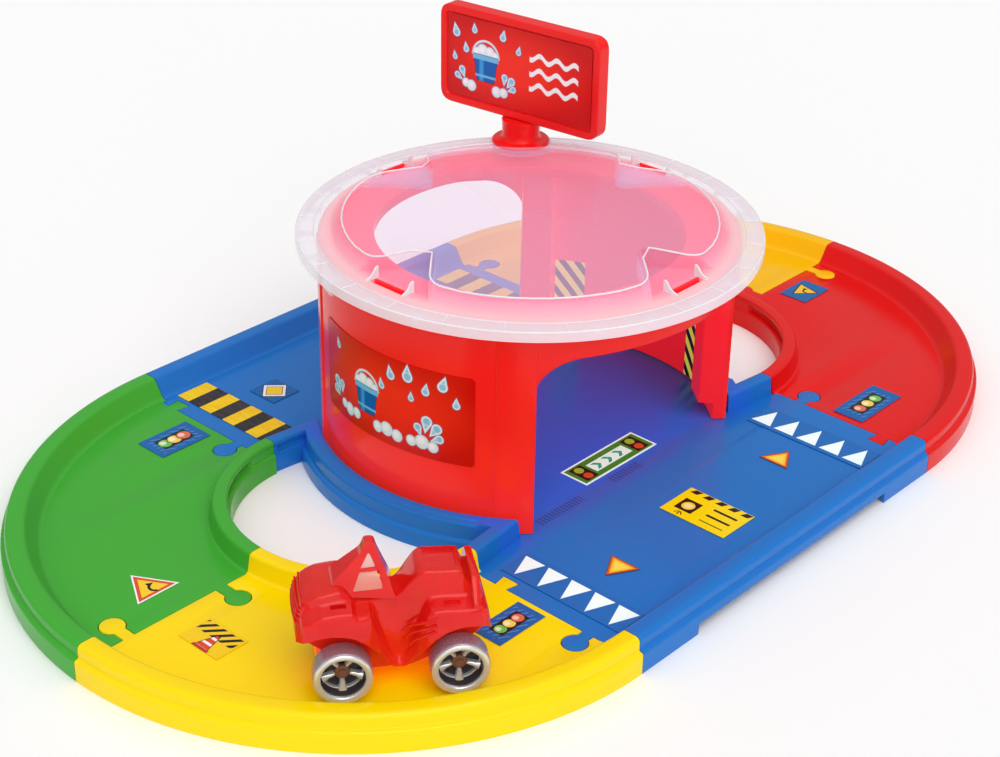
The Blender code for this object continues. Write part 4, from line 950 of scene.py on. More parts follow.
def tower(finish):
    """Red tower: the drum, its four posts and four hooks."""
    posts = [post(start) for start in (33.6, 136.0, 213.6, 316.0)]
    hooks = [hook(turn) for turn in (0, 90, 180, 270)]
    mesh = joined("tower", [drum_shell(), *posts, *hooks])
    return piece("tower_moulding", mesh, "base", finish, ["drum_walls"])


# Roof


def pocket_plan(grow, turn):
    """V-shaped pocket in plan: two straight sides that meet in a round nose of 4 mm."""
    slope = math.degrees(math.atan2(21.0, 24.5))
    radius = 4.0 + grow
    nose = polar(radius, np.linspace(90 + slope, 270 - slope, 17), (82.0, 0))
    end = 108.8
    half = radius / math.cos(math.radians(slope)) + (end - 82.0) * math.tan(math.radians(slope))
    points = np.vstack([[(end, half)], nose, [(end, -half)]])
    c, s = direction(turn)
    return points @ np.array([[c, s], [-s, c]])


def plateau_edge(inset):
    """Radius where the dome meets the slope of 45 degrees, which an inset moves in by 0.41 of its depth."""
    return PLATEAU_R - inset * (math.sqrt(2) - 1)


def dome_height(r, inset=0.0):
    """Height of the dome over a radius: a sphere through the plateau's edge, whose top is DOME_RISE over it."""
    edge = plateau_edge(inset)
    ball = (edge ** 2 + DOME_RISE ** 2) / (2 * DOME_RISE)
    return RIM - inset + (PLATEAU_RISE + DOME_RISE) - ball + np.sqrt(ball ** 2 - np.minimum(r, edge) ** 2)


def roof_solid(name, inset):
    """Filled form of the roof, drawn in by an inset: dome, slope, flat rim and lip."""
    rim = RIM - inset
    edge = plateau_edge(inset)
    r = np.linspace(0, edge, 26)[:-1]
    dome = np.column_stack([r, dome_height(r, inset), 0 * r])
    outer = RIM_R - inset
    low, ease = (124.5, 0.6) if inset else (128.5, 1.4)
    slope = [(edge, rim + PLATEAU_RISE, 1.2), (edge + PLATEAU_RISE, rim, 1.6)]
    rest = [(outer, rim, ease), (outer, low, 0), (0, low, 0)]
    return revolved(name, filleted(np.vstack([dome, slope, rest]), 3), 192)


def shaped_roof(name, inset):
    """Filled form with its four pockets, and with the boss of the sign cut level on top."""
    top = RIM - inset + 6.4
    foot = RIM - inset - 2
    boss = filleted([(0, foot, 0), (18.6 - inset, foot, 0), (18.6 - inset, top, 1.0), (0, top, 0)])
    seat = top - 0.075
    above = filleted([(0, seat, 0), (19.0 + inset, seat, 0.3), (19.0 + inset, ABOVE, 0), (0, ABOVE, 0)])
    pockets = [prism(f"pocket_{i}", pocket_plan(inset, 90 * i), RIM - inset, 160.0) for i in range(4)]
    steps = [("DIFFERENCE", pocket) for pocket in pockets]
    steps += [("UNION", revolved("boss", boss, 48, SEAT)), ("DIFFERENCE", revolved("seat", above, 48, SEAT))]
    return carved(roof_solid(name, inset), steps)


def roof_shell():
    """Wall of 1.8 mm: the outer form less the inner one, with a slot for each hook and the hole for the pin."""
    slot = filleted([(105, -12, 2.2), (110, -12, 2.2), (110, 12, 2.2), (105, 12, 2.2)], 5)
    slots = [turned(prism(f"slot_{i}", slot, RIM - 2.8, ABOVE), 90 * i) for i in range(4)]
    hole = revolved("pin_hole", [(0, 128.0), (5.3, 128.0), (5.3, ABOVE), (0, ABOVE)], 32, SEAT)
    outside, inside = shaped_roof("roof_shell", 0.0), shaped_roof("roof_hollow", 1.8)
    return carved(outside, [("DIFFERENCE", cut) for cut in (inside, *slots, hole)])


def rim_ribs():
    """Thin ribs under the rim, one every 14.4 degrees."""
    section = filleted([(117.4, 129.4, 0.4), (125.8, 129.4, 0.4), (125.8, 132.3, 0), (117.4, 132.3, 0)], 2)
    rings = np.stack([upright(section, y) for y in (-0.45, 0.45)])
    return [turned(lofted("rib", rings), place) for place in np.arange(7.2, 360, 14.4)]


def roof_tongues():
    """Two tongues that hang from the rim outside the wall."""
    tongue = [(116.0, 114.5), (117.4, 114.5), (117.4, 129.6), (116.0, 129.6)]
    return [lofted("tongue", bent(tongue, start, start + 7, 8)) for start in (152, 332)]


def rim_ridges():
    """Ring beads on the rim at 117.6 and 126.9 mm, and a short low ridge between them every 14.4 degrees."""
    turn = np.linspace(0, 360, 180, endpoint=False)
    made = [tube("rim_bead", level(polar(radius, turn), RIM + rise), thick, 8, True)
            for radius, rise, thick in ((117.6, -0.05, 0.3), (126.9, -0.35, 0.45))]
    path = np.column_stack([np.linspace(118.2, 126.4, 6), np.zeros(6), np.full(6, RIM - 0.05)])
    return made + [turned(tube("rim_ridge", path, 0.32, 6), place) for place in np.arange(0, 360, 14.4)]


def slot_fins():
    """Upright fin at each end of each slot: its back edge rises to the plateau and its front edge is hollow."""
    outline = filleted([
        (102.9, RIM - 0.4, 0.2), (111.6, RIM - 0.4, 0.2), (111.2, RIM + 0.7, 0.4), (107.2, RIM + 1.9, 2.4),
        (104.8, RIM + 5.6, 1.2), (102.9, RIM + 6.2, 0.5),
    ], 4)
    fins = []
    for turn in (0, 90, 180, 270):
        for y in (-12.8, 12.8):
            rings = np.array([upright(outline, y + shift) for shift in (-0.5, 0.5)])
            fins.append(turned(lofted("fin", rings), turn))
    return fins


def highlight_bead():
    """One bead along the plateau's edge, a painted highlight of that edge in white plastic: in along each
    pocket, out again and round the arc to the next.
    """
    corners = []
    for i in (3, 2, 1, 0):
        nose = pocket_plan(0.0, 90 * i)[1:-1]
        tips = pocket_tips(90 * i)
        corners += [(*tips[0], 9.0), *[(*point, 0.5) for point in nose], (*tips[1], 9.0)]
        start = np.degrees(np.arctan2(tips[1][1], tips[1][0]))
        following = pocket_tips(90 * i - 90)[0]
        gap = (np.degrees(np.arctan2(following[1], following[0])) - start) % -360
        corners += [(*point, 0.5) for point in polar(102.4, start + np.linspace(0, gap, 14)[2:-2])]
    loop = filleted(corners, 6)
    loop = np.vstack([np.linspace(a, b, 4)[:-1] for a, b in zip(loop, np.roll(loop, -1, 0))])
    loop = loop[np.linalg.norm(loop - np.roll(loop, 1, 0), axis=1) > 0.05]
    heights = dome_height(np.linalg.norm(loop, axis=1)) + 0.05
    return tube("roof_highlight_beads", np.column_stack([loop, heights]), 0.5, 8, True)


def pocket_tips(turn):
    """The two points where a pocket's straight sides meet the plateau's edge."""
    plan = pocket_plan(0.0, turn)
    found = []
    for outer, inner in ((plan[0], plan[1]), (plan[-1], plan[-2])):
        line = inner + (outer - inner) * np.linspace(0, 1, 400)[:, None]
        found.append(line[np.argmin(np.abs(np.linalg.norm(line, axis=1) - 102.0))])
    return found


def roof(finish, bead_finish):
    """Clear roof: the shell with its ribs and tongues, and the bright beads, fins and ridges on it; the bead
    along the plateau's edge is a painted highlight.
    """
    shell = joined("roof", [roof_shell(), *rim_ribs()])
    piece("roof_moulding", shell, "roof", finish, ["roof"], 28.0)
    # painted highlight: the white bead traces the bright edge of the plateau
    piece("roof_highlight_beads", highlight_bead(), "roof", bead_finish)
    piece("roof_fins", joined("roof_fins", slot_fins()), "roof", bead_finish)
    piece("roof_ridges", joined("roof_ridges", rim_ridges()), "roof", bead_finish)
    piece("roof_tongues", joined("roof_tongues", roof_tongues()), "roof", finish)


# Sign

SIGN_TURN = 96.0
SIGN_AXIS = (*SEAT, 140.3)
BOARD_MIDDLE = 44.8


def sign_matrix():
    """From the board's own width, depth and height in millimetres to its place, in metres."""
    place = Matrix.Translation([value * MM for value in SIGN_AXIS])
    return place @ Matrix.Rotation(math.radians(SIGN_TURN), 4, "Z")


def rounded(width, height, radius, middle):
    """Rectangle with round corners, its middle raised."""
    x, y = width / 2, height / 2
    corners = [(x, -y, radius), (x, y, radius), (-x, y, radius), (-x, -y, radius)]
    return filleted(np.add(corners, (0, middle, 0)), 6)


def sign(finish):
    """Round post and the framed board over it, its frame 1.5 mm proud of both faces."""
    profile = filleted([
        (0, 14.5, 0), (11.4, 14.5, 0.3), (11.2, 12.0, 1.6), (11.0, 5.2, 1.2), (12.0, 2.9, 1.0),
        (16.3, 2.3, 0.6), (17.0, 1.6, 0.3), (17.0, 0.3, 0.2), (5.0, 0.3, 0), (5.0, -7.2, 0.3), (0, -7.2, 0),
    ], 5)
    neck = revolved("sign_neck", profile, 72)
    neck.transform(sign_matrix())
    piece("sign_post_moulding", neck, "sign", finish, ["sign_post"], 40.0)
    steps = ((48.0, -3.5, 2.4), (51.6, -3.5, 3.0), (52.4, -4.9, 3.6), (55.8, -5.0, 7.4), (56.5, -4.3, 8.0))
    steps += tuple((half, -depth, radius) for half, depth, radius in steps[::-1])
    rings = [upright(rounded(2 * half, 2 * half - 53.0, radius, BOARD_MIDDLE), depth)
             for half, depth, radius in steps]
    board = lofted("sign_frame", np.array(rings))
    board.transform(sign_matrix())
    piece("sign_board_moulding", board, "sign", finish, ["sign_board"], 30.0)


# Labels on the tower: their radii, then half sizes and middle height of the wall print

PRINT_R = 115.8
STRIP_R = 112.4
PRINT_U = 54.5
PRINT_V = 26.0
PRINT_Z = 73.0


def curved_plate(name, radius, turns, heights, ease, finish, replaced):
    """Print of 0.3 mm on a round wall, its corners round: its angle is the start plus length over radius."""
    start, end = turns
    low, high = heights
    length = math.radians(end - start) * radius
    outline = filleted([(0, low, ease), (length, low, ease), (length, high, ease), (0, high, ease)], 5)
    columns = np.linspace(0, length, 61)
    bottom = np.interp(columns, *edge_of(outline, low, high, False))
    top = np.interp(columns, *edge_of(outline, low, high, True))
    z = bottom + (top - bottom) * np.linspace(0, 1, 7)[:, None]
    angle = np.radians(start) + columns / radius + 0 * z
    sheets = [np.stack([r * np.cos(angle), r * np.sin(angle), z], -1) for r in (radius, radius + 0.3)]
    back, front = (sheet.transpose(1, 0, 2) for sheet in sheets)
    rings = np.concatenate([front, back[:, ::-1]], 1)
    return piece(name, lofted(name, rings), "base", finish, [replaced], 60.0)


def edge_of(outline, low, high, upper):
    """Lower or upper edge of a print as places along it and heights."""
    middle = (low + high) / 2
    kept = outline[outline[:, 1] > middle] if upper else outline[outline[:, 1] < middle]
    kept = kept[np.argsort(kept[:, 0], kind="stable")]
    return kept[:, 0], kept[:, 1]


# Quad, in its own directions: x ahead, y out from the middle of the curve, z up

PATH_R = 140.0
QUAD_TURN = -218.0
HUB_X = 27.1
HUB_Z = 23.8

# Stations along the quad: x, then the height or half width there
RIDGE = [
    (-42, 45), (-40.6, 51), (-38.4, 56.4), (-36.6, 57), (-33.4, 62.6), (-31.2, 63.0), (-30.2, 67.8),
    (-28.6, 69.4), (-12, 70.2), (-9.4, 69.0), (-5, 63.4), (-1.6, 58.6), (1.6, 56.4), (6, 56.6),
    (20, 57.6), (24, 62.6), (27, 64.4), (38, 62.8), (43, 60.2), (45.8, 56.8), (47.6, 50.4),
]
RIDGE_HALF = [
    (-42, 9), (-36.6, 10.6), (-31, 10.8), (-12, 10.8), (-6, 9.6), (0, 8.2), (8, 8.8), (14, 10.4),
    (24, 12.5), (36, 13.5), (44, 13), (47.6, 10),
]
FENDER_TOP = [
    (-42, 43.4), (-40.4, 49), (-38.2, 54.6), (-36, 56.2), (-20, 57.2), (-14, 56.8), (-12, 54.6),
    (-9, 45.6), (-6, 35), (-3.4, 26), (0, 23), (3.4, 26), (6, 34), (10, 45.6), (13.2, 55.6), (15, 58),
    (20, 59.4), (28, 59.6), (36, 58.6), (41, 56.6), (45, 53.0), (47.6, 48.0),
]
FENDER_HALF = [
    (-42, 17), (-40, 20.4), (-37, 22), (-32, 22.8), (-16, 23), (-12, 22), (-9, 19.6), (-6, 16.2),
    (-3, 13.4), (0, 12.4), (3, 13.2), (6, 15.6), (10, 19.2), (14, 22), (18, 23), (36, 23), (41, 22.6),
    (45, 20.6), (47.6, 17),
]
LIP = [
    (-42, 41), (-40, 44.4), (-36, 45.6), (-32, 46.2), (-27, 45.8), (-21, 44), (-16, 40.6), (-12, 35.8),
    (-8, 29.4), (-4.6, 22.6), (-2.6, 19.8), (2.6, 19.8), (4.6, 22.6), (8, 29.4), (12, 36), (16, 41),
    (21, 44.6), (27, 46.4), (33, 46.8), (38, 46.2), (42, 44.4), (45, 43), (47.6, 42),
]
BELLY = [
    (-42, 39), (-36, 33.4), (-20, 25), (-12, 21), (-5, 18.2), (17, 18.2), (20, 19), (30, 26.4), (40, 34),
    (47.6, 40),
]

# Heights on the windscreen with the share of its width there, and its windows in the side view
SCREEN_TAPER = ([58, 66, 75, 79, 84], [1.04, 0.66, 0.4, 0.3, 0.26])
WINDOWS = [
    [(12.6, 78.4, 1.0), (9.2, 71.6, 0.8), (16.8, 71.2, 0.8)],
    [(8.4, 70.0, 0.6), (6.8, 61.4, 1.0), (20.8, 61.0, 1.2), (17.0, 69.8, 0.6)],
]


def quad_matrix():
    """From the quad's own millimetres to its place on the road, in metres."""
    place = Matrix.Translation((-CURVE_X * MM, 0, 0)) @ Matrix.Rotation(math.radians(QUAD_TURN), 4, "Z")
    return place @ Matrix.Translation((0, PATH_R * MM, 0))


def run_of(stations, x, soft=0.9):
    """Straight runs between the stations, each value averaged over a short length either side."""
    at, value = np.array(stations, float).T
    offsets = np.linspace(-soft, soft, 5)[:, None]
    return np.interp(x[None] + offsets, at, value).mean(0)


def side_plate(name, outline, half, low=None, steps=1):
    """Side view carried across the quad, from one flank, or from a low place, to the other."""
    outline = np.asarray(outline, float)
    across = np.linspace(-half if low is None else low, half, steps + 1)
    return lofted(name, np.array([upright(outline, y) for y in across]))


def quad_hull():
    """Body as cross-sections from tail to nose: ridge, fender, lip, wheel well and belly, corners eased."""
    x = np.arange(-42, 47.61, 0.8)
    ridge, ridge_half = run_of(RIDGE, x), run_of(RIDGE_HALF, x)
    fender, fender_half = run_of(FENDER_TOP, x), run_of(FENDER_HALF, x)
    lip, belly = run_of(LIP, x), run_of(BELLY, x)
    rings = []
    for i, place in enumerate(x):
        top, wide, out = ridge[i], ridge_half[i], fender_half[i]
        shoulder = min(fender[i], top - 0.6)
        outer_top = max(shoulder - 3.4, lip[i] + 0.8)
        inner = min(10.6, out - 3.4)
        ceiling = lip[i] + 0.5
        half = [
            (wide * 0.5, top + 0.5, 2.0), (wide, top, 1.6), (min(wide + 1.6, out - 2), shoulder, 2.2),
            (out - 1.0, shoulder - 1.2, 2.4), (out, outer_top, 2.0), (out + 0.1, lip[i], 0.5),
            (out - 1.9, lip[i], 0.5), (out - 2.6, ceiling, 0.6), (inner, ceiling + 0.2, 0.8),
            (inner, belly[i], 1.6),
        ]
        mirrored = [(-y, z, ease) for y, z, ease in half[::-1]]
        section = filleted(half + mirrored, 4)
        rings.append(np.column_stack([np.full(len(section), place), section]))
    return lofted("quad_hull", np.array(rings))


def tapered(mesh, heights, shares):
    """Draws a mesh in across the quad: its y is multiplied by a share that depends on the height."""
    place = np.empty(len(mesh.vertices) * 3)
    mesh.vertices.foreach_get("co", place)
    place = place.reshape(-1, 3)
    place[:, 1] *= np.interp(place[:, 2] / MM, heights, shares)
    mesh.vertices.foreach_set("co", place.ravel())
    return mesh


def windscreen():
    """Raised screen ahead of the seat, drawn in towards its top."""
    outline = filleted([
        (32.0, 60.0, 1), (30.6, 64.6, 3.2), (15.8, 78.4, 2.6), (14.2, 83.6, 1.6), (9.8, 83.4, 1.6),
        (8.0, 77.0, 2.5), (4.0, 66.0, 3), (1.0, 57.0, 1),
    ], 4)
    return tapered(side_plate("windscreen", outline, 10.4, steps=10), *SCREEN_TAPER)


def screen_hollow():
    """Room inside the screen, drawn in like it."""
    outline = filleted([
        (28.0, 57.4, 1), (26.6, 64.0, 2), (14.4, 75.6, 1.2), (10.4, 77.6, 0.8), (9.6, 76.0, 1.5),
        (6.0, 66.0, 2), (4.4, 57.4, 1),
    ], 4)
    return tapered(side_plate("screen_hollow", outline, 8.6, steps=10), *SCREEN_TAPER)


def rear_panel():
    """Six-sided plate across the tail, slightly smaller at both faces."""
    panel = filleted([
        (-20.0, 46.6, 1.5), (20.0, 46.6, 1.5), (21.4, 56.4, 1.6), (12.2, 67.6, 2.2), (-12.2, 67.6, 2.2),
        (-21.4, 56.4, 1.6),
    ], 4)
    faces = ((-33.2, 0.99, 0.4), (-33.6, 1.0, 0), (-36.0, 1.0, 0), (-36.6, 0.99, 0.5))
    rings = [np.column_stack([np.full(len(panel), x), panel * (share, 1) - (0, drop)])
             for x, share, drop in faces]
    return lofted("rear_panel", np.array(rings))


def body_slots():
    """Short slots beside the ridge, a pair at the nose and a pair at the tail."""
    made = []
    for start, end, low, top in ((24.5, 31.5, 56.0, 61.6), (-27.3, -19.9, 55.3, 59.3)):
        outline = filleted([(start, low, 0.3), (end, low, 0.3), (end, top, 0.2), (start, top, 0.2)], 2)
        made += [side_plate("slot", outline, 18.0, 15.4), side_plate("slot", outline, -15.4, -18.0)]
    return made


def axle_way(hub):
    """Round way of 2.6 mm radius across the quad, for an axle."""
    ring = polar(2.6, np.linspace(0, 360, 32, endpoint=False), (hub, HUB_Z))
    return lofted("axle_way", np.array([upright(ring, y) for y in (-16.0, 16.0)]))


def quad_shape():
    """Hull with its screen, rear panel, bumpers and ribs, less the hollows, windows, slots and axle ways."""
    tail = bumper("tail_bar", -37.2, -40.4, (47.4, 54.4), 20.6, 0.4)
    nose = bumper("nose_bar", 44.0, 47.8, (43.6, 48.6), 21.0, 3.0)
    added = [windscreen(), rear_panel(), tail, nose, *fender_ribs(1), *fender_ribs(-1), *nose_ribs()]
    deck = filleted([(-27.4, 68.4, 0.4), (-12.6, 69.0, 0.4), (-12.6, 73.0, 0.1), (-27.4, 73.0, 0.1)], 3)
    low_box = [(-34.3, -2.0), (38.3, -2.0), (38.3, 30.3), (-34.3, 30.3)]
    cut = [side_plate("deck_recess", deck, 7.6), screen_hollow()]
    cut += [side_plate("window", filleted(pane, 3), 30.0) for pane in WINDOWS]
    cut += [*body_slots(), side_plate("inside", low_box, 8.8), axle_way(HUB_X), axle_way(-HUB_X)]
    steps = [("UNION", mesh) for mesh in added] + [("DIFFERENCE", mesh) for mesh in cut]
    return carved(quad_hull(), steps)


def bumper(name, inner, outer, heights, half, bow):
    """Bar across one end: at a place y it is drawn in by bow (y / half width)^2."""
    across = np.linspace(-half, half, 25)
    low, high = heights
    depth = bow * (across / half) ** 2 * math.copysign(1, outer)
    corners = [(inner, low, 0.4), (outer, low + 0.6, 1.2), (outer, high - 0.6, 1.2), (inner, high, 0.4)]
    section = filleted(corners, 3)
    return lofted(name, np.array([upright(section - (shift, 0), y) for y, shift in zip(across, depth)]))


def fender_ribs(side):
    """Three curved ribs on a rear fender, each an arc round the wheel."""
    made = []
    for radius, start, end in ((24.6, 22, 62), (27.6, 26, 66), (30.6, 33, 70)):
        turn = np.radians(np.linspace(start, end, 22))
        x, z = -HUB_X + radius * np.cos(turn), HUB_Z + radius * np.sin(turn)
        out = run_of(FENDER_HALF, x)
        path = np.column_stack([x, side * (out + 0.3), z])
        made.append(tube("fender_rib", path, 0.8, 8))
    return made


def nose_ribs():
    """Fine level ribs across the nose, each bowed like the nose itself: x falls with the square of y."""
    made = []
    y = np.linspace(-13.0, 13.0, 15)
    for z in (50.4, 52.6, 54.8, 57.0, 59.2):
        x = np.interp(z, [50.4, 56.8, 60.2, 62.8], [47.3, 45.6, 42.9, 38.2]) + 0.8 - 0.7 * (y / 13.0) ** 2
        made.append(tube("nose_rib", np.column_stack([x, y, np.full(15, z)]), 0.5, 8))
    return made


def quad(body_finish, pane_finish, chassis_finish):
    """Body of the quad, a thin pane inside each flank of its screen, and the chassis between the wheels."""
    made = quad_shape()
    made.transform(quad_matrix())
    piece("quad_shell", made, "quad", body_finish, ["quad_body"], 42.0)
    for hand, low, high in (("near", 9.2, 9.6), ("far", -9.6, -9.2)):
        outline = [(12.6, 79.0), (5.8, 60.4), (22.6, 60.4)]
        pane = tapered(side_plate(f"quad_pane_{hand}", outline, high, low), *SCREEN_TAPER)
        pane.transform(quad_matrix())
        piece(f"quad_pane_{hand}", pane, "quad", pane_finish)
    give(NODES["quad_chassis"], chassis_finish)


def wheel(name, hub_x, side, finishes):
    """Tyre with a rounded tread, a bright ring on its face, a dark well, five spokes and the axle's head."""
    profiles = {
        "_tread": [
            (2.3, 13.0, 0.2), (2.3, 15.0, 0.2), (10.4, 15.0, 0.3), (10.4, 23.6, 0.3), (13.4, 24.0, 0.3),
            (14.0, 23.2, 0.6), (14.0, 14.2, 1.0), (12.8, 13.0, 1.0),
        ],
        "_ring": [
            (10.4, 22.6, 0.2), (10.4, 24.2, 0.5), (11.6, 25.0, 0.7), (13.2, 25.0, 0.7), (13.8, 24.2, 0.5),
            (13.4, 23.4, 0.2),
        ],
        "_well": [
            (3.0, 14.6, 0.1), (10.1, 14.6, 0.1), (10.45, 22.7, 0.1), (10.3, 22.7, 0.1), (9.7, 15.6, 0.5),
            (3.0, 15.6, 0.1),
        ],
        "_head": [(0.0, 16.2, 0), (3.7, 16.2, 0.2), (3.7, 18.6, 0.9), (0.0, 19.0, 0)],
    }
    parts = {part: revolved(name + part, filleted(profile, 5), 96) for part, profile in profiles.items()}
    parts["_star"] = spoke_set(name + "_star")
    lift = Matrix.Translation((hub_x * MM, 0, HUB_Z * MM)) @ Matrix.Rotation(-side * math.pi / 2, 4, "X")
    body = "front_wheels" if hub_x > 0 else "rear_wheels"
    replaced = {"_tread": [name + "_tyre"], "_star": [name + "_wheel_face"]}
    for part, mesh in parts.items():
        mesh.transform(quad_matrix() @ lift)
        piece(name + part, mesh, body, finishes[part], replaced.get(part, ()), 40.0)


def spoke_set(name):
    """Rim band and five spokes that widen and rise towards it: half width goes from 1.0 to 2.3 mm."""
    band = filleted([(9.3, 15.7, 0.1), (10.1, 15.7, 0.1), (10.1, 18.0, 0.4), (9.3, 18.0, 0.4)], 3)
    across, height = np.array([(-1, 15.7), (1, 15.7), (0.85, 17.7), (0.4, 18.3), (-0.4, 18.3), (-0.85, 17.7)]).T
    rings = np.array([np.column_stack([np.full(6, r), across * half, height + rise])
                      for r, half, rise in ((3.4, 1.0, 0.0), (6.5, 1.4, 0.4), (9.6, 2.3, 1.6))])
    spokes = [turned(lofted(name, rings), turn) for turn in range(90, 450, 72)]
    return joined(name, [revolved(name, band, 72), *spokes])


# Dressing


def give(obj, finish):
    """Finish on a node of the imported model."""
    for place in obj.material_slots:
        place.link = "OBJECT"
        place.material = finish.material


def track():
    """The four curves and the centre piece."""
    curves = (
        ("track_green", -1, 1, True, "green", moulded("green_plastic", GREEN, 0.17, 0.28)),
        ("track_front_yellow", -1, -1, False, "yellow", moulded("yellow_plastic", YELLOW, 0.17, 0.28)),
        ("track_rear_yellow", 1, 1, False, "orange_yellow",
         moulded("orange_yellow_plastic", ORANGE_YELLOW, 0.17, 0.28)),
        ("track_red", 1, -1, True, "red", moulded("red_plastic", RED, 0.17, 0.28)),
    )
    for curve in curves:
        road_curve(*curve)
    centre_piece(base_plastic())


def road_labels():
    """Prints on the road, each on its own node."""
    labels = {
        "hazard_strip_left": (striped_floor,),
        "hazard_strip_right": (striped_floor,),
        "triangle_row_left": (triangle_row, -1),
        "triangle_row_right": (triangle_row, 1),
        "light_sign_green": (light_sign, -1),
        "light_sign_yellow": (light_sign, -1),
        "light_sign_red": (light_sign, 1),
        "priority_sign": (priority_sign,),
        "warning_left": (warning_triangle, 180),
        "warning_right": (warning_triangle, 0),
        "bend_sign_green": (bend_triangle,),
        "bend_sign_red": (bend_square,),
        "works_sign": (works_sign,),
        "speed_plate": (speed_plate,),
        "exit_plate": (exit_plate,),
    }
    for node, (drawn, *values) in labels.items():
        give(NODES[node], drawn(node, *values))


# Layouts of the prints: places are shares of the half sizes, radii and reaches are in millimetres

WALL_LAYOUT = {
    "drops": [
        (0.1, 0.62, 2.6, 12), (0.3, 0.72, 3.2, 0), (0.5, 0.5, 2.3, -8), (0.68, 0.7, 2.9, -14),
        (0.82, 0.34, 2.1, 0), (-0.02, 0.3, 2.0, 10), (0.34, 0.26, 1.8, 0), (-0.72, 0.6, 2.0, 16),
    ],
    "splashes": [
        (-0.66, -0.62, [(-66, 8.5, 2.4), (-34, 11.0, 3.1), (-2, 9.5, 2.4)]),
        (0.48, -0.66, [(-24, 9.0, 2.4), (8, 13.0, 3.2), (38, 12.5, 3.0), (66, 10.0, 2.5)]),
    ],
    "foam": [
        (-0.62, -0.66, 2.6), (-0.52, -0.7, 3.6), (-0.4, -0.68, 3.0), (-0.08, -0.7, 3.2), (0.04, -0.66, 4.0),
        (0.17, -0.72, 3.4), (0.34, -0.7, 3.0), (0.46, -0.66, 4.0), (0.58, -0.72, 3.0),
    ],
    "pail": (-0.24, -0.14),
}
SIGN_LAYOUT = {
    "drops": [
        (-0.88, 0.56, 2.6, 14), (-0.74, 0.2, 2.0, 8), (-0.9, -0.06, 1.7, 10), (-0.22, 0.7, 2.2, -10),
        (0.0, 0.44, 1.8, -12), (-0.62, 0.72, 1.9, 4),
    ],
    "splashes": [
        (-0.74, -0.66, [(-58, 7.5, 2.0), (-20, 8.5, 2.3)]),
        (-0.2, -0.64, [(4, 9.0, 2.2), (36, 9.5, 2.5), (66, 7.5, 2.0)]),
    ],
    "foam": [(-0.74, -0.64, 2.6), (-0.66, -0.68, 3.2), (-0.3, -0.68, 3.2), (-0.2, -0.66, 2.8)],
    "pail": (-0.46, -0.1),
    "waves": (8.0, 42.0, (0.42, 0.06, -0.3)),
}


def wall_print(side, start):
    """Print that runs over 54 degrees of the tower's wall."""
    c, s = direction(start + 27)

    def around(finish):
        ahead = finish.x * c + finish.y * s
        aside = finish.y * c - finish.x * s
        return aside.math("ARCTAN2", ahead) * PRINT_R

    def height(finish):
        return finish.z - PRINT_Z

    name = f"wall_print_{side}"
    art = water_art(name, around, height, PRINT_U, PRINT_V, WALL_LAYOUT)
    heights = (PRINT_Z - PRINT_V, PRINT_Z + PRINT_V)
    curved_plate(name, PRINT_R, (start, start + 54), heights, 1.5, art, f"wall_label_{side}")


def tower_labels():
    """A print on each wall, and two striped strips on the inner side of one wall."""
    wall_print("left", 154.5)
    wall_print("right", -25.5)
    for side, turns in (("front", (-26.0, -16.0)), ("back", (23.5, 33.0))):
        name = f"post_stripes_{side}"
        art = diagonal_strip(name)
        curved_plate(name, STRIP_R, turns, (10.5, 60.0), 0.8, art, f"post_strip_{side}")


def sign_labels():
    """The same print on both sides of the board; on the far side it runs the other way."""
    c, s = direction(SIGN_TURN)
    for side, node in ((-1, "sign_label_front"), (1, "sign_label_back")):

        def along_board(finish, side=side):
            return ((finish.x - SIGN_AXIS[0]) * c + (finish.y - SIGN_AXIS[1]) * s) * side

        def height(finish):
            return finish.z - (SIGN_AXIS[2] + BOARD_MIDDLE)

        give(NODES[node], water_art(f"{node}_print", along_board, height, 51.0, 24.5, SIGN_LAYOUT))


def tower_plastic():
    """Red plastic with a painted glow for the light that comes through it: pinker inside, stronger at the foot
    outside.
    """
    finish = moulded("tower_plastic", (240, 26, 24), 0.14, 0.24, 0.05, Emission_Strength=1.0)
    # painted light: a red glow, pinker on the inner face and stronger towards the foot on the outer face
    inner = finish.ramp((finish.x * finish.x + finish.y * finish.y) ** 0.5, 114.6, 113.8)
    foot = finish.ramp(finish.z, 72.0, 22.0)
    outer = finish.mixed(foot, (0.09, 0.005, 0.003, 1), (0.3, 0.014, 0.01, 1))
    return finish.feed(Emission_Color=finish.mixed(inner, outer, (0.29, 0.008, 0.016, 1)))


def milky_plastic():
    """Clear plastic of the roof, denser and whiter outside the plateau; its faint white glow and the lilac-pink
    inside the plateau are painted light, the pink standing for the red drum seen through it.
    """
    # painted light: a faint white glow all over
    finish = Finish("milky_plastic", Coat_Weight=0.15, Coat_Roughness=0.08, Emission_Strength=1.0,
                    Emission_Color=(0.055, 0.05, 0.06, 1))
    reach = (finish.x * finish.x + finish.y * finish.y) ** 0.5
    # painted light: inside the plateau the plastic is lilac-pink for the red drum seen through it
    rim = finish.ramp(reach, 103.0, 110.0)
    band = finish.ramp(reach, 116.0, 119.0, 0.0, 0.1)
    finish.feed(Alpha=finish.ramp(reach, 101.0, 112.0, 0.23, 0.43) + band)
    return shine(finish, finish.mixed(rim, linear((250, 212, 250)), linear((248, 244, 251))), 0.12, 0.24, 0.06)


def bead_plastic():
    """White plastic of the roof's beads, fins and ridges; the bead along the plateau's edge is a painted
    highlight of that edge.
    """
    finish = Finish("roof_bead", Coat_Weight=0.15, Coat_Roughness=0.08, Alpha=0.85)
    return shine(finish, finish.plain(WHITE), 0.12, 0.2, 0.02)


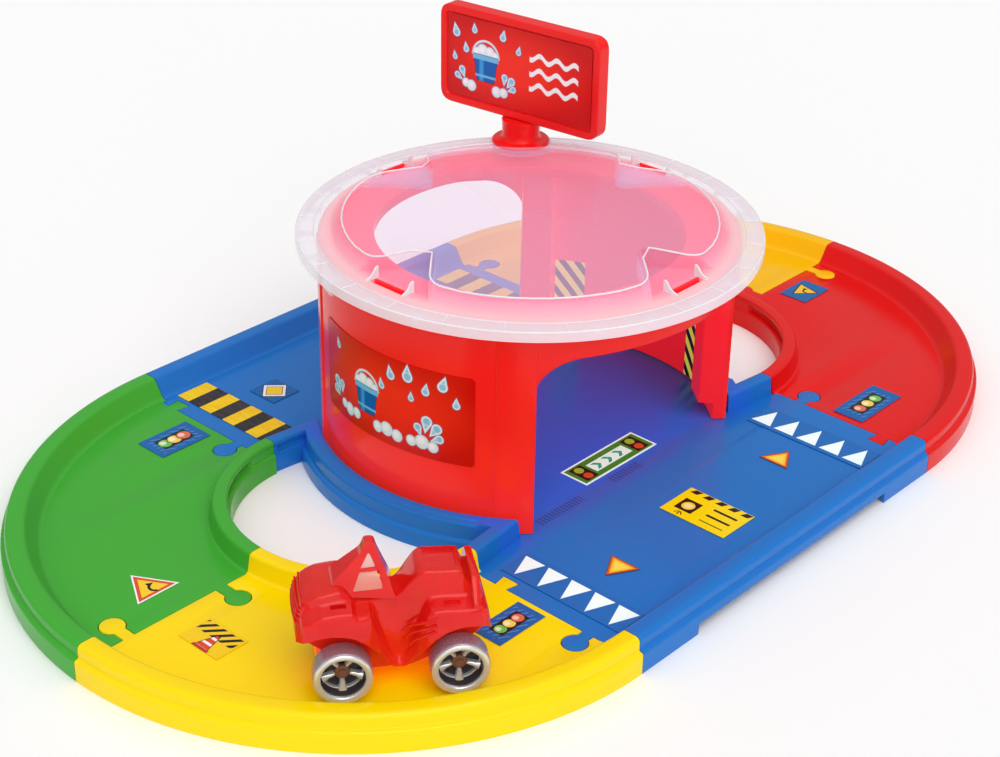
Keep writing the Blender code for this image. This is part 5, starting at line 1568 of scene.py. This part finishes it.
def clear_red_plastic():
    """Clear red of the quad's body with a painted glow, stronger and more orange towards the road: painted
    light for the road's light that the plastic takes up.
    """
    finish = Finish("clear_red_plastic", Coat_Weight=0.35, Coat_Roughness=0.05, Emission_Strength=1.0)
    grain = finish.noise(60, 2.0)
    finish.feed(Alpha=finish.ramp(grain, 0.3, 0.7, 0.86, 0.94))
    # painted light: the lower body glows more and turns orange for the road's light
    low = finish.ramp(finish.z, 46.0, 20.0)
    finish.feed(Emission_Color=finish.mixed(low, (0.05, 0.001, 0.001, 1), (0.09, 0.004, 0.001, 1)))
    paint = finish.mixed(grain, linear((216, 10, 14)), linear((230, 28, 20)))
    return shine(finish, finish.mixed(low * 0.6, paint, linear((240, 56, 22))), 0.08, 0.16, 0.04)


def pane_plastic():
    """Pale clear plastic of the quad's windows, redder at their foot, with a faint painted glow."""
    finish = Finish("pale_pane", Alpha=0.62, Coat_Weight=0.4, Coat_Roughness=0.05, Emission_Strength=1.0,
                    Emission_Color=(0.08, 0.03, 0.025, 1))
    height = finish.ramp(finish.z, 64.0, 76.0)
    tint = finish.mixed(height, linear((240, 150, 130)), linear((240, 206, 202)))
    return shine(finish, tint, 0.08, 0.14, 0.02)


def chassis_plastic():
    """Dark red between the wheels; its glow stands for the red light under the quad."""
    return moulded("quad_chassis_plastic", (150, 16, 16), 0.25, 0.35, Emission_Strength=1.0,
                   Emission_Color=(0.85, 0.08, 0.015, 1))


def quad_on_road():
    """The quad with its four wheels and two axles."""
    quad(clear_red_plastic(), pane_plastic(), chassis_plastic())
    silver = moulded("silver_plastic", (226, 226, 230), 0.16, 0.26, 0.03, Metallic=0.6)
    axle = moulded("brown_plastic", (126, 84, 66), 0.3, 0.4, 0.05)
    finishes = {
        "_tread": moulded("lilac_plastic", (172, 152, 164), 0.2, 0.34, 0.05, Metallic=0.45),
        "_ring": silver,
        "_well": moulded("dark_well", (58, 50, 52), 0.2, 0.3, 0.05),
        "_head": axle,
        "_star": silver,
    }
    for end, hub in (("front", HUB_X), ("rear", -HUB_X)):
        for hand, side in (("outer", 1), ("inner", -1)):
            wheel(f"{end}_{hand}", hub, side, finishes)
        give(NODES[f"{end}_axle"], axle)


# Floor, light and camera


def stand():
    """Large pale floor under the toy."""
    side = np.array([(-1, -1, 0), (1, -1, 0), (1, 1, 0), (-1, 1, 0)]) * 40000.0
    mesh = bpy.data.meshes.new("studio_floor")
    mesh.from_pydata((side * MM).tolist(), [], [(0, 1, 2, 3)])
    mesh.materials.append(Finish("studio_floor", Roughness=0.9, Base_Color=linear((254, 254, 254))).material)
    floor = placed("studio_floor", mesh)


def lights():
    """White world, 0.26 at the horizon and 0.8 overhead, with one soft sun above and a weaker one in front."""
    world = bpy.data.worlds.new("studio")
    world.use_nodes = True
    tree = world.node_tree
    place = tree.nodes.new("ShaderNodeTexCoord")
    parts = tree.nodes.new("ShaderNodeSeparateXYZ")
    height = tree.nodes.new("ShaderNodeMapRange")
    height.inputs["To Min"].default_value = 0.26
    height.inputs["To Max"].default_value = 0.8
    tree.links.new(place.outputs["Generated"], parts.inputs[0])
    tree.links.new(parts.outputs["Z"], height.inputs["Value"])
    tree.links.new(height.outputs[0], tree.nodes["Background"].inputs["Strength"])
    tree.nodes["Background"].inputs["Color"].default_value = (1, 1, 1, 1)
    bpy.context.scene.world = world
    suns = (("window", 1.0, 50, (-0.2, -0.5, 0.84)), ("front", 0.68, 60, (-0.6, -0.66, 0.45)))
    for name, energy, angle, origin in suns:
        lamp = bpy.data.lights.new(name, "SUN")
        lamp.energy = energy
        lamp.angle = math.radians(angle)
        placed(name, lamp).rotation_euler = Vector(origin).to_track_quat("Z", "Y").to_euler()


def camera():
    """Camera at the photograph's place: azimuth -47.9, height 29 degrees and a slight roll."""
    data = bpy.data.cameras.new("camera")
    data.lens = 69.88
    data.sensor_width = 36.0
    data.clip_end = 100.0
    azimuth, height, roll = (math.radians(value) for value in (-47.86, 29.01, 1.00))
    level_reach = math.cos(height)
    back = Vector((math.sin(azimuth) * level_reach, -math.cos(azimuth) * level_reach, math.sin(height)))
    right = (-back).cross(Vector((0, 0, 1))).normalized()
    up = right.cross(-back)
    right, up = right * math.cos(roll) + up * math.sin(roll), up * math.cos(roll) - right * math.sin(roll)
    view = Matrix((right, up, back)).transposed().to_4x4()
    view.translation = Vector((-726.32, -637.04, 573.18)) * MM
    obj = placed("camera", data)
    obj.matrix_world = view
    bpy.context.scene.camera = obj


def main():
    """The whole scene."""
    bpy.context.scene.view_settings.view_transform = "Standard"
    track()
    road_labels()
    tower(tower_plastic())
    roof(milky_plastic(), bead_plastic())
    tower_labels()
    sign(moulded("sign_plastic", (244, 26, 26), 0.14, 0.24, 0.05))
    sign_labels()
    quad_on_road()
    stand()
    lights()
    camera()


main()
